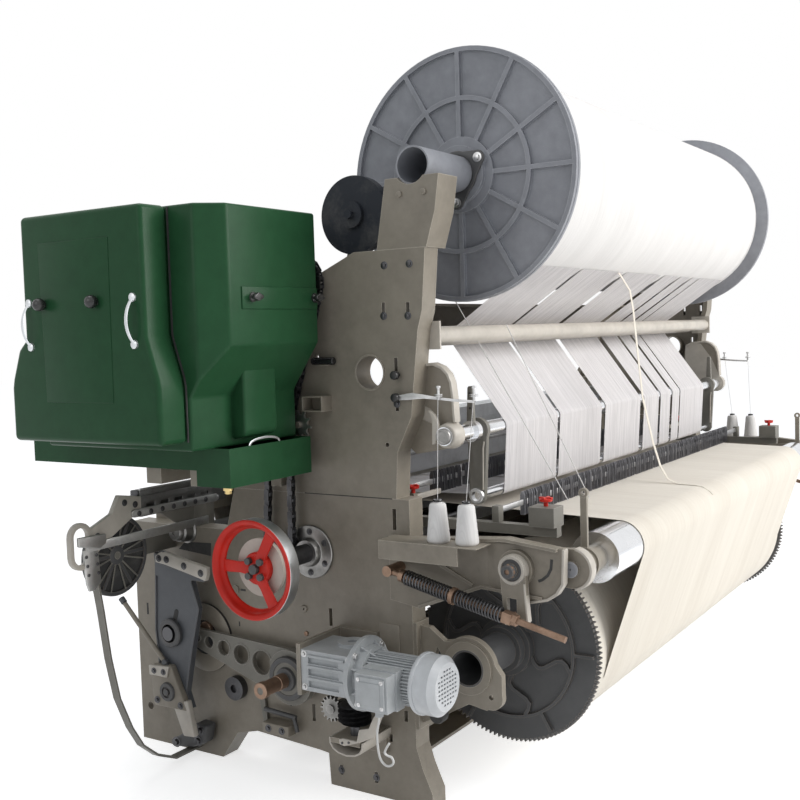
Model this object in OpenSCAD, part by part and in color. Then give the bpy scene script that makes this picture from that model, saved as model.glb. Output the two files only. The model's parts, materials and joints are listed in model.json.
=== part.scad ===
// Terry rapier loom, seen from its warp side.
// X runs along the loom, Y from the warp side to the weaver, Z up; millimetres.
// Places are given in the loom's own frame: the centre plane, the pile beam and the floor.

/* [Side frames] */
// Centre plane to the outer face of a side frame
frame_half = 1435; // [1380:5:1600]
// Depth of the flange round a side frame
rim_depth = 75; // [60:1:90]
// Thickness of the side frame's web
web_t = 22; // [16:1:28]
// Thickness of the flange round a side frame
rim_t = 22; // [16:1:26]
// Height of the joint between lower and upper side frame
split_z = 945; // [920:1:970]
// Height of the upper side frame
frame_top = 1697; // [1680:1:1720]
// Radius of the anchor bolt holes in the feet
anchor_r = 11; // [7:0.5:14]

/* [Pile beam] */
// Height of the pile beam's axis
pile_z = 1940; // [1925:1:1960]
// Radius of the pile beam's flanges
pile_flange_r = 400; // [380:5:420]
// Radius of the yarn wound on the pile beam
pile_yarn_r = 350; // [250:5:360]
// Outer radius of the pile beam's steel pipe
pile_pipe_r = 57; // [50:1:62]
// Wall of the pile beam's steel pipe
pile_pipe_wall = 5; // [3:0.5:8]
// Centre plane to the outer face of a pile beam flange
pile_flange_x = 1119; // [1100:1:1140]

/* [Ground beam] */
// Pitch radius of the ground beam's toothed rim, in teeth
rim_teeth = 122; // [118:1:124]
// Radius of the yarn wound on the ground beam
ground_yarn_r = 292; // [200:2:294]
// Outer radius of the ground beam's steel pipe
ground_pipe_r = 56; // [50:1:60]
// Centre plane to the outer face of a ground beam flange
ground_flange_x = 1150; // [1135:1:1165]

/* [Back rest] */
// Radius of the whip roller
whip_r = 75; // [60:1:80]
// Bare shaft between the whip roller and its lever
whip_gap = 140; // [125:5:170]
// Distance from the back rest's pivot to the whip roller
whip_arm = 145; // [135:1:160]
// Radius of the tension bar under the pile beam
bar_r = 24; // [20:1:28]
// Radius of the lower guide roller
guide_r = 16; // [12:1:20]

/* [Yarn sheets] */
// Half the width of the warp
warp_half = 1050; // [900:10:1070]
// Thickness of a warp sheet
sheet_t = 3; // [2:0.5:4]

/* [Shedding box] */
// Length of the shedding box along Y
box_len = 700; // [650:5:720]
// Top of the shedding box
box_top = 1820; // [1780:5:1840]
// Underside of the shedding box
box_low = 1135; // [1125:1:1160]
// Thickness of its outer cover
cover_t = 103; // [90:1:115]

/* [Drive] */
// Radius of the handwheel's rim
hand_r = 152; // [130:1:165]
// Radius of the main shaft
shaft_r = 30; // [25:1:34]
// Pitch of the roller chain
chain_pitch = 25.4; // [25.4]
// Teeth of the lower chain sprocket
low_teeth = 13; // [13]
// Teeth of the upper chain sprocket
high_teeth = 23; // [23]
// Radius of the rapier wheel
rapier_r = 133; // [115:1:140]
// Radius of the gear motor's body
motor_r = 72; // [64:1:78]

/* [Hidden] */
$fn = 48;
gap = 0.3;
running = 0.05;

// Axes as [y, z]
pile_axis = [-10, pile_z];
ground_axis = [-150, 450];
main_axis = [400, 757];
counter_axis = [508, 757];
high_axis = [400, 1608];
idler_axis = [406, 1168];
pivot_axis = [-345, 780];
whip_axis = [pivot_axis[0] - whip_arm, pivot_axis[1]];
bar_axis = [-85, 1137];
guide_axis = [-80, 930];
tie_axis = [-22, 1437];
deflector_axis = [62, 1430];
sley_axis = [872, 418];
take_up_axis = [1085, 690];
cloth_axis = [1050, 280];
swing_axis = [472, 347];
pulley_axis = [277, 1825];

// Colours
paint = [0.56, 0.54, 0.47];
cast = [0.62, 0.63, 0.66];
iron = [0.20, 0.21, 0.21];
steel = [0.70, 0.71, 0.73];
green = [0.10, 0.27, 0.14];
black = [0.06, 0.07, 0.08];
cream = [0.90, 0.86, 0.76];
white = [0.93, 0.93, 0.94];

web_x = frame_half - web_t;
rim_x = frame_half - rim_depth;
// A place at distance d outside the near side frame's face, and inside it
function out(d) = -frame_half - d;
function within(d) = -frame_half + d;

// Puts the middle of the part's footprint at the origin
module placed() translate([-(ring_end + cover_x - knob_reach) / 2,
    -(frame_front + whip_axis[0] - whip_r - gap - sheet_t) / 2, 0]) children();
module both() {
    children();
    mirror([1, 0, 0]) children();
}
// Extrudes a [y, z] outline from x0 to x1
module yz(x0, x1) translate([x0, 0, 0]) rotate([90, 0, 90]) linear_extrude(x1 - x0) children();
// Extrudes an [x, z] outline from y0 to y1
module xz(y0, y1) translate([0, y1, 0]) rotate([90, 0, 0]) linear_extrude(y1 - y0) children();
module rod(x0, x1, r, c) translate([x0, c[0], c[1]]) rotate([0, 90, 0]) cylinder(h = x1 - x0, r = r);
module rod_y(y0, y1, r, c) translate([c[0], y1, c[1]]) rotate([90, 0, 0]) cylinder(h = y1 - y0, r = r);
module box(x, y, z) translate([x[0], y[0], z[0]]) cube([x[1] - x[0], y[1] - y[0], z[1] - z[0]]);

function turn(a) = [cos(a), sin(a)];
function unit(v) = v / norm(v);
function left(v) = [-v[1], v[0]];
// Outline moved inwards by d, for a counter-clockwise list of points
function inset(p, d) = [for (i = [0:len(p) - 1])
    let (a = p[(i + len(p) - 1) % len(p)], b = p[i], c = p[(i + 1) % len(p)],
         m = left(unit(b - a)), n = left(unit(c - b)))
    b + d * (m + n) / (1 + m * n)];
// A closed band of width w that follows the points p
function band(p, w) = let (s = band_side(p, w / 2), t = band_side(p, -w / 2))
    concat(s, [for (i = [len(t) - 1:-1:0]) t[i]]);
function band_side(p, d) = [for (i = [0:len(p) - 1])
    let (m = left(unit(p[max(i, 1)] - p[max(i, 1) - 1])),
         n = left(unit(p[min(i, len(p) - 2) + 1] - p[min(i, len(p) - 2)])))
    p[i] + d * (m + n) / (1 + m * n)];
// A run over wheels, each [axis, radius, side]; side is 1 where the run turns left round it
function run_dir(a, b) = atan2(b[0][1] - a[0][1], b[0][0] - a[0][0])
    + asin((a[2] * a[1] - b[2] * b[1]) / norm(b[0] - a[0]));
function off_wheel(w, d) = w[0] + w[2] * w[1] * [sin(d), -cos(d)];
function wrap(w, d0, d1, n) = let (e = d1 - d0 + (w[2] > 0 ? (d1 < d0 ? 360 : 0) : (d1 > d0 ? -360 : 0)))
    [for (i = [0:n]) off_wheel(w, d0 + e * i / n)];

module gear(x0, x1, c, teeth, module_mm, phase, bore) difference() {
    yz(x0, x1) translate(c) polygon([for (i = [0:teeth - 1])
        let (r = teeth * module_mm / 2, a = phase + i * 360 / teeth, p = 360 / teeth)
        each [(r - 1.15 * module_mm) * turn(a - 0.25 * p), (r + 0.85 * module_mm) * turn(a - 0.12 * p),
              (r + 0.85 * module_mm) * turn(a + 0.12 * p), (r - 1.15 * module_mm) * turn(a + 0.25 * p)]]);
    if (bore > 0) rod(x0 - 1, x1 + 1, bore, c);
}

// Side frames
frame_front = 1207;
rear_top = 800;
lower_outline = [[-28, 0], [355, 0], [361, 102], [397, 106], [659, 121], [748, 98], [820, 0],
    [frame_front, 0], [frame_front, rear_top], [760, rear_top], [720, split_z], [25, split_z],
    [25, 180], [5, 119], [-28, 45]];
upper_outline = [[70, split_z], [720, split_z], [720, 1150], [560, 1400], [480, 1560], [330, 1640],
    [198, frame_top], [-56, frame_top], [-40, 1513], [-23, 1455], [8, 1196], [61, 1088]];
window_axis = [152, 1330];
anchor_y = [150, 1010];

module slot(y, z0, z1, w) yz(-frame_half - 1, -web_x + 1) translate([y - w / 2, z0]) square([w, z1 - z0]);
module lower_frames() placed() color(paint) both() difference() {
    yz(-frame_half, -rim_x) polygon(lower_outline);
    yz(-web_x, -rim_x + 1) polygon(inset(lower_outline, rim_t));
    for (c = [main_axis, counter_axis, swing_axis]) rod(-frame_half - 1, -web_x + 1, shaft_bore(c), c);
    for (c = [take_up_axis, cloth_axis]) rod(-frame_half - 1, -web_x + 1, 25 + running, c);
    rod(-frame_half - 1, -web_x + 1, 14 + running, let_off_axis);
    rod(-frame_half - 1, -web_x + 1, 88, sley_axis);
    for (s = [[334, 521, 579], [416, 197, 254], [60, 258, 292], [118, 183, 209], [177, 41, 76],
              [312, 40, 72], [80, 849, 915]]) slot(s[0], s[1], s[2], 13);
    for (h = [[1163, 125, 14], [735, 262, 20], [728, 600, 14]])
        rod(-frame_half - 1, -web_x + 1, h[2], [h[0], h[1]]);
    for (y = anchor_y) translate([-rim_x - (rim_depth - web_t) / 2, y, -1])
        cylinder(h = rim_t + 2, r = anchor_r);
}
function shaft_bore(c) = c == main_axis ? shaft_r + running : c == counter_axis ? 18 + running : 22;

module upper_frames() placed() color(paint) both() difference() {
    yz(-frame_half, -rim_x) polygon(upper_outline);
    yz(-web_x, -rim_x + 1) polygon(inset(upper_outline, rim_t));
    rod(-frame_half - 1, -web_x + 1, 55, window_axis);
    for (h = [[88, 1651, 9], [-1, 1651, 9], [97, 1110, 7], [355, 1379, 10]])
        rod(-frame_half - 1, -web_x + 1, h[2], [h[0], h[1]]);
    for (s = [[95, 1490, 1541], [9, 1490, 1538], [57, 1324, 1374], [57, 1213, 1255]])
        slot(s[0], s[1], s[2], 12);
}

cradle_w = 110;
module beam_cradles() placed() color(paint) both() difference() {
    yz(-frame_half, -frame_half + cradle_w) polygon([[-61, frame_top], [113, frame_top],
        [76, pile_z - 35], [-109, pile_z - 35], [-93, 1799]]);
    yz(-web_x, -frame_half + cradle_w + 1) polygon([[-40, frame_top + rim_t], [88, frame_top + rim_t],
        [62, 1850], [-70, 1850], [-70, 1799]]);
    rod(-frame_half - 1, -frame_half + cradle_w + 1, pile_pipe_r + running, pile_axis);
}

// Girders between the side frames: [y0, y1, z0, z1]
mid_girder = [230, 330, 600, 700];
heald_girder = [480, 640, 540, 600];
girder_wall = 10;
top_girder = [330, 430, 1450, 1550];
girder_list = [[80, 190, 105, 195], [600, 700, 150, 250], mid_girder, heald_girder, top_girder];
breast_y = [1105, 1170];
breast_edge = [1168, 858];
breast_r = 22;
pulley_bore = 12;
pulley_x = [within(115), within(150)];
plate_x = [within(160), within(172)];
module girders() placed() color(paint) {
    for (g = girder_list) difference() {
        box([-web_x, web_x], [g[0], g[1]], [g[2], g[3]]);
        box([-web_x + 20, web_x - 20], [g[0] - 1, g[1] - girder_wall], [g[2] + girder_wall,
            g[3] - girder_wall]);
    }
    // Breast beam with its rounded edge
    box([-rim_x, rim_x], breast_y, [rear_top, 850]);
    rod(-rim_x, rim_x, breast_r, breast_edge);
    // Plate and axle of the guide pulley, on the top girder
    yz(plate_x[0], plate_x[1]) polygon([pulley_axis + [-20, -16], [top_girder[0] + 10, top_girder[3]],
        [top_girder[0] + 50, top_girder[3]], pulley_axis + [20, 16]]);
    rod(pulley_x[0] - 12, plate_x[0], pulley_bore - running, pulley_axis);
}

// Back rest
bracket_x = [-frame_half - 20, -frame_half];
bracket_outline = [[-14, 624], [90, 640], [90, 835], [61, 835], [-314, 862], [-483, 843], [-455, 740],
    [-426, 694], [-229, 707]];
module beam_brackets() placed() color(paint) both() {
    rest_bracket();
    ground_bracket();
}
module rest_bracket() difference() {
    union() {
        yz(bracket_x[0], bracket_x[1]) polygon(bracket_outline);
        yz(bracket_x[0] - 18, bracket_x[0]) polygon(band([[61, 831], [-314, 857], [-470, 840]], 9));
        yz(bracket_x[0] - 8, bracket_x[0]) polygon(band([[-14, 629], [-229, 712], [-420, 699]], 9));
        yz(bracket_x[0] - 8, bracket_x[0]) polygon(band([[-40, 790], [-200, 715]], 10));
        rod(bracket_x[0] - 20, bracket_x[0], 52, pivot_axis);
    }
    rod(bracket_x[0] - 30, bracket_x[1] + 1, pivot_r + running, pivot_axis);
}
pivot_r = 20;
lever_x = [out(60), out(44)];
arm_x = [within(23), within(45)];
whip_half = -arm_x[1] - whip_gap;
eye_x = -whip_half - 71;
back_shaft_r = 38;
module back_rest_levers() placed() color(paint) both() {
    rod(lever_x[0] - 8, arm_x[1], pivot_r, pivot_axis);
    rod(lever_x[0], lever_x[1], 40, pivot_axis);
    difference() {
        yz(lever_x[0], lever_x[1]) polygon([[-385, 780], [-392, 632], [-320, 622], [-305, 780]]);
        yz(lever_x[0] - 1, lever_x[1] + 1) translate([-358, 638]) square([30, 62]);
    }
    yz(arm_x[0], arm_x[1]) {
        translate(pivot_axis) circle(r = 45);
        translate(whip_axis) circle(r = 56);
        polygon([pivot_axis + [0, 45], whip_axis + [0, 56], whip_axis - [0, 56], pivot_axis - [0, 45]]);
    }
    rod(arm_x[0], -whip_half, back_shaft_r, whip_axis);
    rod(arm_x[0] - 12, arm_x[0], 22, whip_axis);
    difference() {
        union() {
            rod(eye_x - 7, eye_x + 7, back_shaft_r + 7, whip_axis);
            box([eye_x - 5, eye_x + 5], [whip_axis[0] - 10, whip_axis[0] + 10],
                [whip_axis[1] + back_shaft_r, 975]);
            rod(eye_x - 6, eye_x + 6, 14, [whip_axis[0], 980]);
        }
        rod(eye_x - 9, eye_x + 9, 6, [whip_axis[0], 980]);
    }
    rod(-whip_half, -whip_half + 60, 22, whip_axis);
}
module whip_roller() placed() color(steel) difference() {
    rod(-whip_half + gap, whip_half - gap, whip_r, whip_axis);
    for (s = [0, 1]) mirror([s, 0, 0]) rod(-whip_half, -whip_half + 62, 22 + running, whip_axis);
    rod(-whip_half + 60, whip_half - 60, whip_r - 6, whip_axis);
}

// Springs that pull the back rest against the warp
spring_x = out(85);
spring_a = [48, 746];
spring_b = [-515, 611];
spring_dir = unit(spring_b - spring_a);
spring_tilt = atan2(spring_dir[1], spring_dir[0]);
spring_r = 23;
spring_wire = 7;
rod_r = 9;
// Block on the rod that the spring bears on; its pin rides in the lever's slot
block_at = 388;
block_l = 28;
module along_spring() translate([spring_x, spring_a[0], spring_a[1]]) rotate([spring_tilt - 90, 0, 0])
    children();
module spring_rods() placed() color([0.45, 0.36, 0.27]) both() {
    along_spring() {
        cylinder(h = norm(spring_b - spring_a), r = rod_r);
        translate([0, 0, 42]) cylinder(h = 14, r = 19);
        translate([0, 0, 218]) cylinder(h = 12, r = spring_r + 2);
        translate([-15, -15, block_at]) cube([30, 30, block_l]);
        translate([0, 0, block_at + block_l]) cylinder(h = 16, r = 17, $fn = 6);
        translate([0, 0, block_at + block_l / 2]) rotate([0, 90, 0])
            cylinder(h = lever_x[1] - spring_x, r = 7);
    }
    rod(spring_x - 14, bracket_x[0], 16, spring_a);
}
// One spring as rings, from z0 to z1 along the rod
module spring(z0, z1) rotate_extrude() polygon(concat([[rod_r + 1, z1], [rod_r + 1, z0]],
    [for (i = [0:turns(z0, z1) - 1], k = [0:4]) [spring_r - spring_wire * (1 - sin(36 * k)) * 0.6,
        z0 + (i + k / 4 * 0.98) * (z1 - z0) / turns(z0, z1)]]));
function turns(z0, z1) = round((z1 - z0) / 11);
module tension_springs() placed() color(black) both() along_spring() {
    spring(57, 217);
    spring(231, block_at - gap);
}

// Ground beam bracket with the bearing ring of the pipe
module ground_bracket() difference() {
    union() {
        yz(arm_x[0], arm_x[1]) difference() {
            union() {
                polygon([[25, 250], [25, 560], [-20, 556], [-70, 520], [-110, 528], [-200, 522],
                    [-262, 440], [-262, 370], [-210, 330], [-150, 340], [-60, 290]]);
                translate(ground_axis) circle(r = 92);
                translate([-225, 372]) circle(r = 38);
            }
            polygon([[-78, 450], [-45, 500], [-30, 455], [-36, 400], [-62, 398]]);
        }
        rod(arm_x[0] - 8, arm_x[1] + 8, 80, ground_axis);
        box([-frame_half + 2, -rim_x - 2], [13, 25], [240, 570]);
    }
    rod(arm_x[0] - 10, arm_x[1] + 10, ground_pipe_r + running, ground_axis);
    rod(arm_x[0] - 10, arm_x[1] + 10, 8, [-225, 372]);
}

// Beam flange on the near side, thickness t, with radial and ring ribs on its outer face
module flange_ribs(x, c, rib, rings, radii, spokes, w) {
    for (r = rings) yz(x - rib, x) translate(c) difference() { circle(r = r + w / 2); circle(r = r - w / 2); }
    for (i = [0:spokes - 1]) yz(x - rib, x) translate(c) rotate(i * 360 / spokes)
        translate([radii[0], -w / 2]) square([radii[1] - radii[0], w]);
}
module pile_flange() difference() {
    union() {
        rod(-pile_flange_x, -pile_flange_x + 12, pile_flange_r, pile_axis);
        flange_ribs(-pile_flange_x, pile_axis, 14, [pile_flange_r - 9, pile_flange_r * 0.6],
            [pile_pipe_r + 20, pile_flange_r - 10], 12, 14);
        rod(-pile_flange_x - 16, -pile_flange_x, pile_pipe_r + 62, pile_axis);
        rod(-pile_flange_x - 30, -pile_flange_x, pile_pipe_r + 34, pile_axis);
        for (a = [30, 150, 270]) translate([0, (pile_pipe_r + 30) * cos(a), (pile_pipe_r + 30) * sin(a)])
            rod(-pile_flange_x - 36, -pile_flange_x, 22, pile_axis);
    }
    rod(-pile_flange_x - 40, -pile_flange_x + 20, pile_pipe_r, pile_axis);
}
module pipe(half, r, wall, c) difference() {
    rod(-half, half, r, c);
    rod(-half - 1, half + 1, r - wall, c);
}
module pile_beam() placed() {
    color(cast) both() pile_flange();
    color(steel) pipe(frame_half - 17, pile_pipe_r, pile_pipe_wall, pile_axis);
}
module yarn(half, r, bore, c) difference() {
    rod(-half, half, r, c);
    rod(-half - 1, half + 1, bore, c);
}
module pile_yarn() placed() color(white)
    yarn(pile_flange_x - 12 - gap, pile_yarn_r, pile_pipe_r + running, pile_axis);

rim_module = 5;
rim_pitch_r = rim_teeth * rim_module / 2;
idler_teeth = 16;
let_off_teeth = 21;
train_angle = -20;
idler_at = ground_axis + (rim_pitch_r + idler_teeth * rim_module / 2) * turn(train_angle);
let_off_axis = ground_axis
    + (rim_pitch_r + (idler_teeth + let_off_teeth / 2) * rim_module) * turn(train_angle);
module ground_flange() difference() {
    union() {
        gear(-ground_flange_x, -ground_flange_x + 20, ground_axis, rim_teeth, rim_module, train_angle, 0);
        flange_ribs(-ground_flange_x, ground_axis, 12, [rim_pitch_r * 0.74], [rim_pitch_r * 0.74,
            rim_pitch_r - 14], 6, 9);
        yz(-ground_flange_x - 12, -ground_flange_x) translate(ground_axis) for (i = [0:5]) rotate(60 * i + 15)
            polygon(band([for (k = [0:8]) let (t = k / 8)
                [rim_pitch_r * (0.28 + 0.45 * t), 26 * sin(360 * t)]], 11));
        rod(-ground_flange_x - 30, -ground_flange_x, ground_pipe_r + 34, ground_axis);
        rod(-ground_flange_x - 60, -ground_flange_x, ground_pipe_r + 16, ground_axis);
    }
    rod(-ground_flange_x - 70, -ground_flange_x + 30, ground_pipe_r, ground_axis);
}
module ground_beam() placed() color(iron) {
    both() ground_flange();
    pipe(frame_half - 15, ground_pipe_r, 6, ground_axis);
}
module ground_yarn() placed() color(cream)
    yarn(ground_flange_x - 20 - gap, ground_yarn_r, ground_pipe_r + running, ground_axis);

// Let-off train: worm, worm wheel, shaft with gear, idler
worm_module = 4.5;
wheel_teeth = 16;
wheel_r = wheel_teeth * worm_module / 2;
worm_lead = PI * worm_module;
worm_pitch_r = 48;
worm_x = out(105);
worm_y = let_off_axis[0] - wheel_r - worm_pitch_r;
worm_turns = 4;
module let_off_shaft() placed() color(steel) {
    rod(worm_x - 14, -ground_flange_x + 22, 14, let_off_axis);
    gear(-ground_flange_x, -ground_flange_x + 20, let_off_axis, let_off_teeth, rim_module,
        train_angle + 180, 13);
    gear(worm_x - 8, worm_x + 8, let_off_axis, wheel_teeth, worm_module, 180, 13);
}
module let_off_idler() placed() color(steel) {
    gear(-ground_flange_x, -ground_flange_x + 20, idler_at, idler_teeth, rim_module,
        train_angle + 180 / idler_teeth, 13);
    rod(-ground_flange_x - 8, -ground_flange_x + 24, 22, idler_at);
    rod(-web_x + gap, -ground_flange_x, 14, idler_at);
}
thread_points = 16;
module worm() placed() color(black) translate([worm_x, worm_y,
    let_off_axis[1] - worm_lead * worm_turns / 2]) {
    linear_extrude(worm_lead * worm_turns, twist = -360 * worm_turns, slices = 10 * worm_turns)
        polygon([for (i = [0:thread_points - 1]) let (a = i * 360 / thread_points,
            lift = max(0, min(1, (80 - abs(a - 180)) / 28))) (worm_pitch_r - 5 + 9 * lift) * turn(a + 90)]);
    translate([0, 0, -45]) cylinder(h = worm_lead * worm_turns + 220, r = 15);
}

motor_x = out(155);
motor_z = 451;
motor_flange_y = 97;
motor_end_y = -183;
module motor_body() placed() color(steel) difference() {
    union() {
        rod_y(-110, motor_flange_y, motor_r - 7, [motor_x, motor_z]);
        rod_y(motor_flange_y - 12, motor_flange_y, 110, [motor_x, motor_z]);
        rod_y(motor_flange_y - 40, motor_flange_y - 12, 84, [motor_x, motor_z]);
        for (i = [0:23]) translate([motor_x, 0, motor_z]) rotate([0, i * 15, 0])
            box([motor_r - 12, motor_r], [-104, motor_flange_y - 40], [-2, 2]);
        box([motor_x - 90, motor_x - 50], [-70, 46], [motor_z - 62, motor_z + 50]);
    }
    for (i = [0:3]) translate([motor_x, 0, motor_z]) rotate([0, 45 + i * 90, 0])
        rod_y(motor_flange_y - 13, motor_flange_y + 1, 5, [97, 0]);
}
module fan_cover() placed() color(steel) difference() {
    union() {
        rod_y(-165, -104, motor_r + 14, [motor_x, motor_z]);
        translate([motor_x, -165, motor_z]) rotate([90, 0, 0])
            cylinder(h = 18, r1 = motor_r + 14, r2 = motor_r - 4);
    }
    rod_y(-110 - 1, -100, motor_r - 6, [motor_x, motor_z]);
    for (i = [-4:4], k = [-3:3]) if (norm([i * 12, k * 15]) < 52)
        box([motor_x + k * 15 - 5, motor_x + k * 15 + 5], [-190, -160], [motor_z + i * 12 - 3,
            motor_z + i * 12 + 3]);
}
module terminal_box() placed() color(steel) {
    box([motor_x - 132, motor_x - 90], [-66, 42], [393, 497]);
    rod_v(372, 393, 12, [motor_x - 102, -18]);
}
module rod_v(z0, z1, r, c) translate([c[0], c[1], z0]) cylinder(h = z1 - z0, r = r);
reducer_y = 288;
module reducer() placed() color(steel) difference() {
    union() {
        box([motor_x - 62, motor_x + 102], [motor_flange_y, reducer_y], [388, 512]);
        rod_y(motor_flange_y, motor_flange_y + 16, 92, [motor_x, motor_z]);
        rod_v(376, 522, 44, [worm_x, worm_y]);
    }
    rod_v(370, 530, 15 + running, [worm_x, worm_y]);
    for (z = [410, 446, 482]) box([motor_x - 63, motor_x - 52], [150, 262], [z - 10, z + 10]);
}
module reducer_bracket() placed() color(paint) difference() {
    union() {
        box([motor_x - 66, -frame_half], [reducer_y, reducer_y + 14], [372, 528]);
        box([-frame_half - 14, -frame_half], [150, reducer_y], [360, 528]);
        box([motor_x, -frame_half], [worm_y - 50, worm_y + 56], [216, 232]);
        box([-frame_half - 14, -frame_half], [worm_y - 50, worm_y + 56], [150, 216]);
    }
    rod_v(210, 240, 15 + running, [worm_x, worm_y]);
}

// Chain drive from the countershaft up to the shedding box
chain_x = out(31);
roller_r = 7.5;
function pitch_r(teeth) = teeth * chain_pitch / (2 * PI);
tensioner_teeth = 10;
chain_wheels = [[counter_axis, pitch_r(low_teeth), 1], [high_axis, pitch_r(high_teeth), 1],
    [idler_axis, pitch_r(tensioner_teeth), -1]];
chain_dirs = [for (i = [0:2]) run_dir(chain_wheels[i], chain_wheels[(i + 1) % 3])];
function arc_of(i) = let (d0 = chain_dirs[(i + 2) % 3], d1 = chain_dirs[i], s = chain_wheels[i][2])
    s > 0 ? (((d1 - d0) % 360) + 360) % 360 : -((((d0 - d1) % 360) + 360) % 360);
function straight_of(i) = norm(off_wheel(chain_wheels[(i + 1) % 3], chain_dirs[i])
    - off_wheel(chain_wheels[i], chain_dirs[i]));
chain_parts = [for (i = [0:2]) each [abs(arc_of(i)) * PI / 180 * chain_wheels[i][1], straight_of(i)]];
function sum(v, n) = n < 0 ? 0 : v[n] + sum(v, n - 1);
chain_len = sum(chain_parts, 5);
link_count = 2 * round(chain_len / chain_pitch / 2);
link_step = chain_len / link_count;
function chain_at(s, k = 0) = s <= chain_parts[k] || k == 5
    ? (k % 2 == 0
        ? off_wheel(chain_wheels[k / 2], chain_dirs[(k / 2 + 2) % 3] + arc_of(k / 2) * s / chain_parts[k])
        : off_wheel(chain_wheels[(k - 1) / 2], chain_dirs[(k - 1) / 2]) + s * turn(chain_dirs[(k - 1) / 2]))
    : chain_at(s - chain_parts[k], k + 1);
// Rollers between alternating inner and outer link plates, each layer one extrusion
module plates(first, x0, x1) yz(x0, x1) for (i = [first:2:link_count - 1])
    polygon(link_plate(chain_at(i * link_step), chain_at(((i + 1) % link_count) * link_step)));
module drive_chain() placed() color(black) {
    yz(chain_x - 5, chain_x + 5) for (i = [0:link_count - 1]) translate(chain_at(i * link_step))
        circle(r = roller_r, $fn = 16);
    for (s = [-1, 1]) {
        plates(0, chain_x + min(s * 5, s * 8), chain_x + max(s * 5, s * 8));
        plates(1, chain_x + min(s * 8, s * 11), chain_x + max(s * 8, s * 11));
    }
}
function link_plate(a, b) = let (u = unit(b - a), v = left(u)) [a - 8 * u, a - 4 * u - 9 * v,
    b + 4 * u - 9 * v, b + 8 * u, b + 4 * u + 9 * v, a - 4 * u + 9 * v];
// Angle of the roller that lies first on wheel i
function seat_angle(i) = let (s0 = sum(chain_parts, 2 * i - 1), n = ceil(s0 / link_step),
    p = chain_at(n * link_step) - chain_wheels[i][0]) atan2(p[1], p[0]);
module sprocket(i, teeth, t) yz(chain_x - t / 2, chain_x + t / 2) translate(chain_wheels[i][0])
    difference() {
        circle(r = pitch_r(teeth) + 6);
        for (k = [0:teeth - 1], seat = [[0, 1.2], [6, 4]])
            translate((pitch_r(teeth) + seat[0]) * turn(seat_angle(i) + k * 360 / teeth))
                circle(r = roller_r + seat[1], $fn = 16);
    }
module low_sprocket() placed() color(steel) {
    sprocket(0, low_teeth, 8);
    rod(chain_x - 14, -web_x + 46, 18, counter_axis);
    gear(-web_x + 8, -web_x + 28, counter_axis, 24, 4.5, 180 + 7.5, 17);
}
module high_sprocket() placed() color(steel) {
    sprocket(1, high_teeth, 8);
    rod(box_x[1] + gap, chain_x + 10, 22, high_axis);
}
module idler_sprocket() placed() color(steel) {
    difference() {
        sprocket(2, tensioner_teeth, 8);
        rod(chain_x - 8, chain_x + 8, 10 + running, idler_axis);
    }
}
module main_shaft() placed() color(steel) {
    rod(hand_x + 85, frame_half + 95, shaft_r, main_axis);
    gear(-web_x + 8, -web_x + 28, main_axis, 24, 4.5, 0, shaft_r - 1);
}
module drive_pulley() placed() color(iron) difference() {
    rod(frame_half + 25, frame_half + 90, 170, main_axis);
    for (z = [0:3]) translate([frame_half + 32 + 15 * z, 0, 0]) difference() {
        rod(0, 8, 171, main_axis);
        rod(-1, 9, 160, main_axis);
    }
    rod(frame_half + 24, frame_half + 96, shaft_r, main_axis);
}
hand_x = out(305);
module handwheel() placed() color([0.78, 0.09, 0.10]) {
    translate([hand_x + 22, main_axis[0], main_axis[1]]) rotate([0, 90, 0]) rotate_extrude()
        translate([hand_r - 15, 0]) polygon([[-15, -14], [0, -20], [11, -17], [15, 0], [11, 17],
            [0, 20], [-15, 14]]);
    difference() {
        union() {
            rod(hand_x + 28, hand_x + 50, 48, main_axis);
            for (i = [0:2]) yz(hand_x + 26, hand_x + 40) translate(main_axis) rotate(120 * i)
                polygon([[20, -24], [hand_r - 22, -17], [hand_r - 22, 17], [20, 24]]);
        }
        for (i = [0:3]) rod(hand_x + 20, hand_x + 60, 6, main_axis + 32 * turn(45 + 90 * i));
    }
}
module handwheel_hub() placed() color(cream) {
    rod(hand_x + 50, hand_x + 64, 88, main_axis);
    rod(hand_x + 64, hand_x + 85, 52, main_axis);
    for (i = [0:3]) {
        rod(hand_x + 16, hand_x + 26, 10, main_axis + 32 * turn(45 + 90 * i));
        rod(hand_x + 26, hand_x + 50, 6 - running, main_axis + 32 * turn(45 + 90 * i));
    }
    rod(hand_x + 14, hand_x + 28, 14, main_axis);
}

// Shedding box with its outer cover, drip tray and supports
box_x = [out(522), out(55)];
box_y = [300, 300 + box_len];
chamfer = 66;
module shedding_box() placed() color(green) difference() {
    union() {
        yz(box_x[0], box_x[1]) polygon([[box_y[0], box_top], [box_y[0], 1428], [400, 1284], [400, box_low],
            [box_y[1], box_low], [box_y[1], box_top]]);
        yz(box_x[0] + 171, box_x[0] + 317) polygon([[372, 1402], [352, 1384], [352, 1176], [366, 1160],
            [410, 1150], [410, 1410]]);
    }
    translate([0, 0, box_low - 1]) linear_extrude(box_top - box_low + 2) polygon([[box_x[0] - 1,
        box_y[0] - 1],
        [box_x[0] + chamfer, box_y[0] - 1], [box_x[0] - 1, box_y[0] + chamfer]]);
    box([box_x[0] + 111, box_x[1] - 6], [box_y[0] - 1, box_y[0] + 8], [1532, 1592]);
}
cover_y = [457, 957];
hip = 43;
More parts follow.
